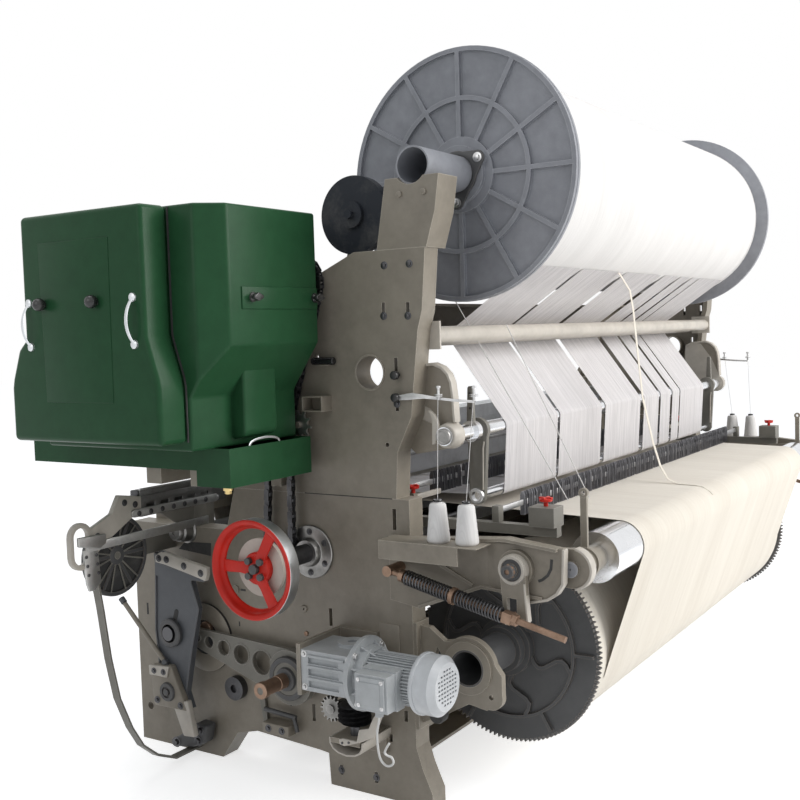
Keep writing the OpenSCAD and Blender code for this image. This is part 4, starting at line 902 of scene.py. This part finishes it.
# Small fittings on the near frame's face
lathe("black_sleeve", [(0, 0), (0, 10), (2, 12), (80, 12), (84, 10), (84, 0)], (-1451, 274, 1367), 32,
      black_knob, axis=(0, 1, 0))
box("sleeve_block", (-1452, -1434.5), (300, 332), (1352, 1367), (1.5,), frame_paint)
shaped(ribbon, "loop_bracket", [(303, 1213), (303, 1257), (378, 1257), (378, 1213), (303, 1213)],
       -1487, -1434.5, (4, 1), frame_paint)
rod("hole_plug", (FACE - 6.4, 728, 600), (FACE + 5.6, 728, 600), 13.8, frame_paint, sides=32, bevel=0)
# Thin black plates on the frame's face: painted shade that stands for the dark inside of its slots.
for k, (y, z) in enumerate((((755, 777), (596, 603)), ((687, 709), (596, 603)), ((718, 723), (473, 489)),
                            ((1152, 1160), (462, 504)), ((1000, 1006), (520, 548)))):
    box("slot_mark_%d" % (k + 1), (FACE - 0.5, FACE + 0.3), y, z, (), roller_rubber)
# A thin black plate on the frame's face: painted shade that stands for the dark inside of the track's
# opening.
shaped(slab, "track_opening", [(988, 715), (957, 743), (835, 748), (838, 703)], FACE - 0.6, FACE + 0.3, (),
       roller_rubber)
lathe("small_boss", [(0, 4), (0, 13), (4, 12), (6, 10), (6, 4)], (FACE, 438, 566), 28, frame_paint)
bolts("rusty_plug", on(FACE, (434, 485)), 8, 5, rusty_rod, sides=20, washer=0)
lathe("track_stub", [(0, 0), (0, 46), (4, 46), (8, 40), (40, 36), (44, 30), (60, 28), (63, 25), (63, 10),
                     (58, 9), (58, 0)], (FACE, 945, 786), 40, worn_steel)
lathe("bearing_cover", [(0.2, 60), (0.2, 118.5), (1.8, 118.5), (3, 117), (3, 62), (1.8, 60)],
      (-1445, 872, 418), 64, frame_paint)
lathe("bearing_nose", [(0.2, 0), (0.2, 24), (12, 24), (14, 22), (14, 0)], (-1445, 858, 452), 32, rusty_rod)
shaped(slab, "link_bar", [(643, 290), (619, 293), (596, 144), (614, 141)], -1450, -1440, (2, 2),
       grey_enamel)
box("link_box", (-1488, -1434.5), (483, 592), (147, 182), (3, 3), frame_paint)
bolts("link_bolts", on(-1488, (566, 165), (510, 165)), 8, 8)
rod("link_rod_1", (-1444, 611, 288), (-1444, 500, 240), 5, dark_casting)
rod("link_rod_2", (-1462, 600, 216), (-1462, 470, 208), 8, dark_casting)
rod("link_rod_3", (-1462, 478, 208), (-1462, 466, 160), 7, dark_casting)
bolts("link_pins", on(-1450, (631, 276), (606, 156)), 9, 8, dark_casting)
shaped(slab, "foot_joint", [(832, 126), (848, 62), (900, 42), (960, 32), (1000, 34), (1004, 50), (962, 72),
                            (905, 108), (880, 130)], -1500, -1448, (6, 3), dark_casting)
bolts("foot_bolts", on(-1500, (862, 108), (872, 70), (975, 47)), 12, 12)

# Rapier tracks: hollow slotted bar, rail, ledge, strip, clamps and ring bracket
FORWARD = (0, -1, 0)
for side, sign in SIDES:
    track = block("track_bar_" + side, (-1675 * sign, -1265 * sign), (913, 965), (872, 940))
    cut(track, block("hollow", (-1681 * sign, -1259 * sign), (921, 957), (890, 925)),
        *[block("slot", ((-1650 + 64 * k) * sign, (-1610 + 64 * k) * sign), (905, 930), (902, 914))
          for k in range(5)])
    dress(rounded(track, 1.5, 2), track_steel)
    if side == "left":
        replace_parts(track, "rapier_tracks")
    ring = slab("ring_bracket_" + side, [(u * sign, z) for u, z in [
        (-1672, 898), (-1672, 941), (-1766, 957), (-1800, 902)] + arc(-1925, 850, 44, 25, 180, 9)
        + arc(-1925, 790, 44, 180, 335, 9) + [(-1832, 813)]], 912, 931, along="y")
    bore = slab("bore", [(u * sign, z) for u, z in arc(-1925, 850, 28, 0, 180, 10)
                         + arc(-1925, 790, 28, 180, 360, 10)], 905, 940, along="y")
    dress(rounded(cut(ring, bore), 3, 3, 35), cream_enamel)
bolts("track_bolts_*", [(-1632 + 64 * k, 913, 884) for k in range(6)], 6, 5, bright_steel, washer=1.5,
      toward=FORWARD)
for k, x in enumerate((-1655, -1560, -1470, -1340)):
    box("track_block_*_%d" % (k + 1), (x - 22, x + 22), (922, 958), (939.5, 958), (2.5,), oiled_steel)
shaped(ribbon, "track_rail_*", [(-1672, 962), (-1272, 962)], 916, 924, (5, 1), bright_steel, along="y")
box("rail_posts_*", (-1672, -1272), (916.5, 923.5), (939, 961), (1,), track_steel)
box("track_foot_*", (-1430, -1366), (913, 965), (800, 872.5), (4,), grey_enamel)
box("track_strip_*", (-1908, -1366), (905, 913), (800, 828), (1.5,), strip_steel)
shaped(slab, "track_ledge_*", arc(-1708, 889, 13, 90, 270, 8) + [(-1320, 873), (-1320, 899)], 905, 912.8,
       (1.2, 2), strip_steel, along="y")
bolts("ledge_bolts_*", [(-1690 + 52 * k, 905, 887) for k in range(7)], 6, 5, washer=1.5, toward=FORWARD)
shaped(slab, "strip_clamp_*", [(-1951, 853), (-1893, 851), (-1842, 848), (-1841, 822), (-1866, 806),
                               (-1951, 824)], 894, 904.9, (3, 3), strip_steel, along="y")
shaped(slab, "tape_clamp_*", [(-1922, 806), (-1866, 806), (-1858, 700), (-1884, 676), (-1905, 676),
                              (-1914, 700)], 908, 916.8, (1.5, 2), strip_steel, along="y")
bolts("tape_bolts_*", [(x, 908, z) for x, z in ((-1913, 786), (-1910, 757), (-1907, 728), (-1874, 786),
                                                (-1871, 757), (-1868, 728))], 4, 4, washer=1.4,
      toward=FORWARD)
shaped(slab, "track_gusset_*", [(-1588, 871.5), (-1524, 831), (-1389, 765), (-1368, 765), (-1368, 871.5)],
       914, 921, (2, 2), grey_enamel, along="y")
box("track_web_*", (-1374, -1322), (918, 960), (790, 871.5), (2,), grey_enamel)
bolts("ring_bolts_*", [(-1700, 912, 918), (-1745, 912, 930), (-1862, 912, 842)], 7, 6, toward=FORWARD)

# Rapier wheels: dark web, thin spokes, rim and hub
RAPIER_X, RAPIER_Y, RAPIER_Z = -1735, 972, 752
rapier_place, rapier_body = (RAPIER_X, RAPIER_Y, RAPIER_Z), "*_rapier_wheel"
lathe("rapier_web_*", [(3, 28), (3, 112), (6, 119.5), (11, 119.5), (8.5, 112), (8.5, 28)],
      rapier_place, 64, roller_rubber, rapier_body, (0, 1, 0))
lathe("rapier_rim_*", [(0.4, 119.5), (-3, 120), (-3.6, 124), (-3.6, 129), (-2.5, 131.8), (0.4, 132.5)],
      rapier_place, 72, dark_casting, rapier_body, axis=(0, 1, 0))
lathe("rapier_hub_*", [(-6, 12.5), (-6, 24), (-3, 31), (4, 32), (4, 12.5)],
      rapier_place, 40, dark_casting, rapier_body, axis=(0, 1, 0))
for side, sign in SIDES:
    spoke = slab("rapier_spoke", [(RAPIER_X * sign + u, RAPIER_Z + z) for u, z in (
        (-2.5, 29), (2.5, 29), (2.5, 121), (-2.5, 121))], 968.5, 972.4, 1, 2, "y")
    dress(all_round("rapier_spokes_" + side, spoke, at(RAPIER_X * sign, 0, RAPIER_Z), (0, 1, 0),
                    [15 + 30 * k for k in range(12)]), grey_enamel, side + "_rapier_wheel")

# Rocker lever: raised rib, painted shade in its slot, sector plate, clamp, push tube and foot
ROCKER = "rocker_lever"
shaped(ribbon, "rocker_rib", [(836, 634), (806, 546), (846, 400), (878, 262)], -1543, -1534, (9, 2.5),
       blue_casting, ROCKER)
shaped(ribbon, "rocker_edge", [(1000, 640), (1011, 450), (998, 330)], -1541, -1534, (7, 2.5), blue_casting,
       ROCKER)
# A thin black plate on the lever: painted shade that stands for the dark inside of its slot.
shaped(slab, "rocker_slot", arc(912, 524, 9, 20, 200, 8) + arc(933, 462, 9, 200, 380, 8), -1537.2, -1535,
       (0.5, 2), roller_rubber, ROCKER)
shaped(slab, "sector_plate", [
    (984, 692), (984, 714), (970, 723), (954, 731), (930, 728), (906, 723), (865, 715), (825, 707),
    (786, 701), (749, 694), (750, 668), (757, 648), (784, 655), (820, 663), (860, 671), (942, 687)],
    -1554.5, -1535, (3.5, 3), cream_enamel, ROCKER)
bolts("sector_bolts", on(-1554.5, (966, 707), (930, 706), (850, 691), (775, 674)), 8, 7, body=ROCKER)
shaped(slab, "rocker_clamp", [(856, 193), (1013, 193), (1024, 333), (927, 341)], -1562, -1535, (5, 3),
       frame_paint, ROCKER)
bolts("clamp_bolts", on(-1562, (995, 214), (886, 210)), 8, 8, body=ROCKER)
shaped(slab, "clamp_cap", [(1022, 300), (1024, 332), (928, 340), (940, 300)], -1569, -1562, (2.5, 3),
       cream_enamel, ROCKER)
bolts("cap_bolts", on(-1569, (998, 317), (954, 318)), 7, 7, body=ROCKER)
lathe("clamp_bearing", [(0, 0), (0, 33), (7, 32), (10, 29), (10, 20), (4, 18), (4, 12), (12, 11), (13, 0)],
      (-1562, 943, 250), 40, dark_casting, ROCKER)
tube_ends = [(-1548, 945 + reach * math.sqrt(0.5), 325 + reach * math.sqrt(0.5)) for reach in (38, 289)]
rod("push_tube", *tube_ends, 8.4, frame_paint, ROCKER)
shaped(slab, "rocker_foot", [(830, 109), (881, 105), (929, 216), (857, 229)], -1561, -1537, (5, 3),
       cream_enamel, ROCKER)
lathe("rocker_eye", [(0, 24.5), (0, 46), (3, 49), (14, 49), (18, 45), (19, 32), (12, 30), (12, 24.5)],
      (-1536, 936, 450), 48, dark_casting, ROCKER)

# Swing arm: dark hub, rusty shaft end and a lip round each lightening hole
lathe("swing_hub", [(0, 22.5), (0, 71.5), (13, 71.5), (16, 69), (16, 54), (10, 51), (10, 40), (24, 37),
                    (26, 34), (26, 22.5)], (-1486, *SWING), 56, dark_casting, "swing_arm")
lathe("swing_shaft_end", [(0, 22.1), (0, 24.5), (34, 24.5), (35, 23.2), (92, 23.2), (93, 26.2), (112, 26.2),
                          (114, 24.5), (114, 12), (106, 9), (106, 0)], (-1517, *SWING), 40, rusty_rod,
      "swing_arm")
for k, (y, z, r) in enumerate(((590, 378, 40), (680, 393, 32), (757, 405, 25), (823, 416, 19),
                               (876, 425, 13))):
    lathe("arm_ring_%d" % (k + 1), [(0, r + 0.2), (0, r + 4.5), (2.5, r + 3.5), (2.5, r + 0.8)],
          (-1478, y, z), 36, grey_enamel, "swing_arm")

# Let-off motor, reducer and worm
MOTOR_X, MOTOR_Z = -1590, 451
motor_at = at(MOTOR_X, 0, MOTOR_Z)
fin = block("motor_fin", (MOTOR_X + 62, MOTOR_X + 71.6), (-103, 56), (MOTOR_Z - 1.3, MOTOR_Z + 1.3), 0.5)
dress(all_round("motor_fins", fin, motor_at, (0, 1, 0), [7.5 + 15 * k for k in range(24)]), motor_silver)
gusset = slab("motor_gusset", [(MOTOR_X + 66, 30), (MOTOR_X + 80, 56), (MOTOR_X + 98, 85),
                               (MOTOR_X + 66, 86)], MOTOR_Z - 3, MOTOR_Z + 3, 1, 2, "z")
dress(all_round("motor_gussets", gusset, motor_at, (0, 1, 0), [22.5 + 45 * k for k in range(8)]),
      motor_silver)
bolts("motor_bolts", [(x, 85, z) for x, z in arc(MOTOR_X, MOTOR_Z, 97, 45, 315, 3)], 8, 8, bright_steel,
      washer=1.4, toward=FORWARD)
lathe("fan_ridge", [(0, 85.5), (0, 88.5), (3, 89.5), (9, 89.5), (12, 88.5), (12, 85.5)],
      (MOTOR_X, -118, MOTOR_Z), 64, fan_silver, axis=(0, 1, 0))
shaped(slab, "worm_plate", [
    (187, 240), (173, 245), (122, 245), (112, 282), (77, 292), (59, 328), (42, 348), (22, 350), (58, 269),
    (109, 244), (169, 222), (185, 226)], -1613, -1606, (2, 3), cream_enamel)
bolts("worm_plate_bolts", on(-1613, (150, 237), (174, 232)), 4, 3, washer=0)
shaped(slab, "frame_pad", [(147, 559), (72, 557), (75, 300), (141, 290)], FACE - 4, FACE + 0.5, (2, 3),
       frame_paint)
shaped(slab, "terminal_lid", [(-59, 401), (35, 401), (35, 490), (-59, 490)], -1728, -1721.5, (3, 3),
       motor_silver)
shaped(slab, "terminal_plate", [(-46, 414), (22, 414), (22, 477), (-46, 477)], -1731, -1727, (2, 3),
       motor_silver)
bolts("terminal_bolts", [(-1728, y, z) for y in (-51, 27) for z in (409, 482)], 4, 4, bright_steel,
      washer=1.5)
bolts("reducer_bolts", [(-1652, y, z) for y in (112, 276) for z in (400, 500)], 7, 8, bright_steel)
for k, z in enumerate((428, 464, 496)):
    box("reducer_rib_%d" % (k + 1), (-1658, -1651.5), (128, 262), (z - 4, z + 4), (2, 3), motor_silver)
shaped(ribbon, "worm_strap", [(118, 232), (119, 214), (128, 199), (146, 189), (177, 184), (208, 189),
                              (226, 199), (236, 214), (237, 232)], -1592, -1434.5, (6, 2), cream_enamel)
lathe("rubber_stop", [(0, 0), (0, 20), (6, 25), (30, 26), (38, 23), (40, 0)], (-1411, -56, 300), 36,
      roller_rubber)

# Hub of the pile beam and its seat in the cradle
lobes = []
for a in (30, 150, 270):
    lobes += arc(*arc(*PILE, 88, a, a, 1)[0], 24, a - 72, a + 72, 8) + arc(*PILE, 72, a + 40, a + 80, 4)
for side, sign in SIDES:
    clamp = slab("hub_clamp_" + side, lobes, -1158 * sign, -1149 * sign)
    cut(clamp, pin(at(-1150 * sign, *PILE), (1, 0, 0), 57.3, 60, 64))
    dress(rounded(clamp, 2.5, 2, 35), dark_casting, "pile_warp_beam")
bolts("hub_bolts_*", on(-1158, *arc(*PILE, 90, 30, 270, 2)), 10, 9, bright_steel, "pile_warp_beam")
bolts("cradle_bosses_*", on(FACE, (26, 1856), (-58, 1857)), 9, 7, frame_paint, sides=24, washer=0)

# Hanger and slim lever of the tension bar
for side, sign in SIDES:
    hanger = slab("hanger_plate_" + side, arc(*BAR, 39.5, -30, 210, 14) + arc(*GUIDE, 27, 180, 360, 12),
                  -1201 * sign, -1183 * sign)
    cut(hanger, pin(at(-1192 * sign, *BAR), (1, 0, 0), 23.2, 60, 40),
        pin(at(-1192 * sign, *GUIDE), (1, 0, 0), 15.2, 60, 32))
    dress(rounded(hanger, 2, 2, 35), grey_enamel, "tension_bar")
shaped(ribbon, "hanger_edge_*", [(-110, 1102), (-106, 1080), (-103, 950)], -1206, -1178, (5, 1.5),
       cream_enamel, "tension_bar")
lathe("hanger_eye_*", [(0, 15.5), (0, 26), (9, 25), (11, 23), (11, 15.5)], (-1200, *GUIDE), 36,
      bright_steel, "tension_bar")
shaped(slab, "slim_lever_*", [(-96.5, 1150), (-93.5, 1272), (-90, 1277), (-80, 1277), (-76.5, 1272),
                              (-70.5, 1150)], -1241.2, -1226.8, (1.5, 2), grey_enamel, "tension_bar")
bolts("slim_lever_pins_*", on(-1241, (-85, 1255), (-85, 1232), (-85, 1209)), 4, 2, roller_rubber,
      "tension_bar", 16, 0)

# Fittings between the frames behind the warp
box("rail_post_*", (-1312, -1290), (84, 104), (872, 944), (2,), frame_paint)
box("rail_arm_*", (-1300, -1138), (88, 100), (920, 937), (2,), cream_enamel)
for side, sign in SIDES:
    for k, (x, y, z) in enumerate(((-1301, 94, 944), (-1296, -360, 930))):
        knob = turned("rail_knob_%s_%d" % (side, k + 1), [
            (0, 0), (0, 6.8), (13, 6.8), (13.5, 17), (15, 19.5), (21, 19.5), (23, 17), (23, 0)],
            at(x * sign, y, z), (0, 0, 1), 32)
        wings = [block("wing", (x * sign - u, x * sign + u), (y - v, y + v), (z + 20, z + 27), 2, 2)
                 for u, v in ((21, 5), (5, 21))]
        dress(joined(knob.name, [knob, *wings]), red_enamel)
rod("guide_rod", (-1309, 300, 1024), (1309, 300, 1024), 6, bright_steel, bevel=1)
box("rod_holder_*", (-1345, -1300), (286, 314), (1008, 1040), (2,), grey_enamel)

# Back rest: dressed pivot, bracket corner and roller ends
lathe("pivot_ring_*", [(0, 31), (0, 43), (-20, 43), (-20, 40.5), (3, 40.5), (6, 39), (6, 32), (3, 31)],
      (-1495, *PIVOT), 48, cream_enamel, "back_rest")
lathe("pivot_disc_*", [(-1, 0), (-1, 31.2), (2, 31.2), (3, 28), (3, 21), (6, 19.5), (30, 19.5), (32, 18),
                       (32, 8), (26, 7), (26, 0)],
      (-1495, *PIVOT), 40, dark_casting, "back_rest")
shaped(ribbon, "lever_edge_*", [(-383, 745), (-386, 700), (-391, 636)], -1499, -1475, (6, 2), cream_enamel,
       "back_rest")
for side, sign in SIDES:
    nut = pin(at(-1518 * sign, *PIVOT), (-sign, 0, 0), 21, 9, 8)
    nut.name = "pivot_nut_" + side
    dress(rounded(nut, 1.2, 2, 30), rusty_rod, "back_rest")
    corner = slab("bracket_corner_" + side, [
        (-250, 846), (-484, 842), (-480, 745), (-461, 716), (-434, 697), (-380, 684), (-300, 690),
        (-250, 720)], -1457.5 * sign, -1436 * sign, 2, 2)
    dress(cut(corner, pin(at(-1450 * sign, *PIVOT), (1, 0, 0), 52.5, 120, 48)), frame_paint)
shaped(ribbon, "corner_edge_*", [(-486, 842), (-482, 745), (-463, 716), (-435, 697), (-380, 684)],
       -1463, -1434, (8, 2.5), cream_enamel)
# A thin black strip on the bracket corner: painted shade that stands for the dark inside of its slot.
shaped(ribbon, "corner_slot_*", [(-450, 812), (-447, 785), (-437, 766), (-420, 752), (-408, 747)],
       -1458.6, -1456, (8,), roller_rubber)
shaped(ribbon, "whip_edge_*", arc(*WHIP, 57, 100, 262, 16), -1418, -1384, (8, 2.5), cream_enamel,
       "back_rest")
lathe("whip_cap_*", [(0, 0), (0, 22.5), (3.5, 22.5), (4, 20), (2, 18), (2, 3), (0, 2.5), (0, 0)],
      (-1424, *WHIP), 40, beam_casting, "back_rest")

# Loose threads and the cream tape
rod("loose_thread_1", (-1104, 100, 1652), (-1010, -303, 900), 1.6, white_yarn, sides=8, bevel=0)
rod("loose_thread_2", (-1004, -96, 1463), (-900, -330, 892), 1.6, white_yarn, sides=8, bevel=0)
shaped(ribbon, "cream_tape", [
    (-208, 1645), (-250, 1577), (-262, 1500), (-268, 1430), (-292, 1180), (-330, 1010), (-356, 925),
    (-385, 876), (-420, 861.8), (-455, 860.4), (-490, 859.4), (-517, 854.6), (-541, 840.8), (-552.5, 829)],
    -300, -282, (1.2,), cream_yarn)


# Floor and light: the pale background shows to the camera and in gloss, and adds no light to the loom
FLOOR_GLOW, ROOM_LIGHT = 0.64, 0.38


def seen_rays(tree):
    """One for rays that end in the picture, in a gloss or behind an opening, and nought for the others."""
    rays = put(tree, "ShaderNodeLightPath").outputs
    return solve(tree, "MAXIMUM", solve(tree, "MAXIMUM", rays["Is Camera Ray"], rays["Is Glossy Ray"]),
                 rays["Is Transmission Ray"])


deselect()
bpy.ops.mesh.primitive_plane_add(size=60, location=(0, 0, 0))
floor = bpy.context.object
floor.name = "floor"
pale, tree, shader = surface("pale_floor", Roughness=0.9)
join(tree, between(tree, speckle(tree, place_of(tree), 0.6), (0.84, 0.84, 0.84, 1), (0.88, 0.88, 0.88, 1)),
     shader, "Base Color")
strength = times(tree, seen_rays(tree), FLOOR_GLOW)
glow = put(tree, "ShaderNodeEmission", {"Color": (1, 1, 1, 1), "Strength": strength})
both = put(tree, "ShaderNodeAddShader", {0: shader.outputs[0], 1: glow.outputs[0]})
tree.links.new(both.outputs[0], tree.nodes["Material Output"].inputs["Surface"])
floor.data.materials.append(pale)

world = bpy.data.worlds.new("studio")
bpy.context.scene.world = world
world.use_nodes = True
tree = world.node_tree
background = tree.nodes["Background"]
seen = seen_rays(tree)
tree.links.new(between(tree, seen, (0.92, 0.95, 1.0, 1), (1, 1, 1, 1)), background.inputs["Color"])
tree.links.new(ramp(tree, seen, 0.0, 1.0, ROOM_LIGHT, 1.0), background.inputs["Strength"])


def lamp(name, place, aim, size, power, tint=(1, 1, 1)):
    light = bpy.data.lights.new(name, "AREA")
    light.size, light.energy, light.color = size, power, tint
    holder = bpy.data.objects.new(name, light)
    bpy.context.scene.collection.objects.link(holder)
    holder.location = place
    holder.rotation_euler = (Vector(aim) - Vector(place)).to_track_quat("-Z", "Y").to_euler()


lamp("window_light", (1.5, -6.5, 4.2), (0, 0, 1.2), 5.0, 470, (1.0, 0.99, 0.97))
lamp("side_light", (-6.0, 0.5, 3.6), (0, 0, 1.0), 3.0, 30)
lamp("top_light", (-1.0, 1.0, 6.5), (0, 0, 1.0), 4.0, 90)
bpy.context.scene.view_settings.view_transform = "Standard"
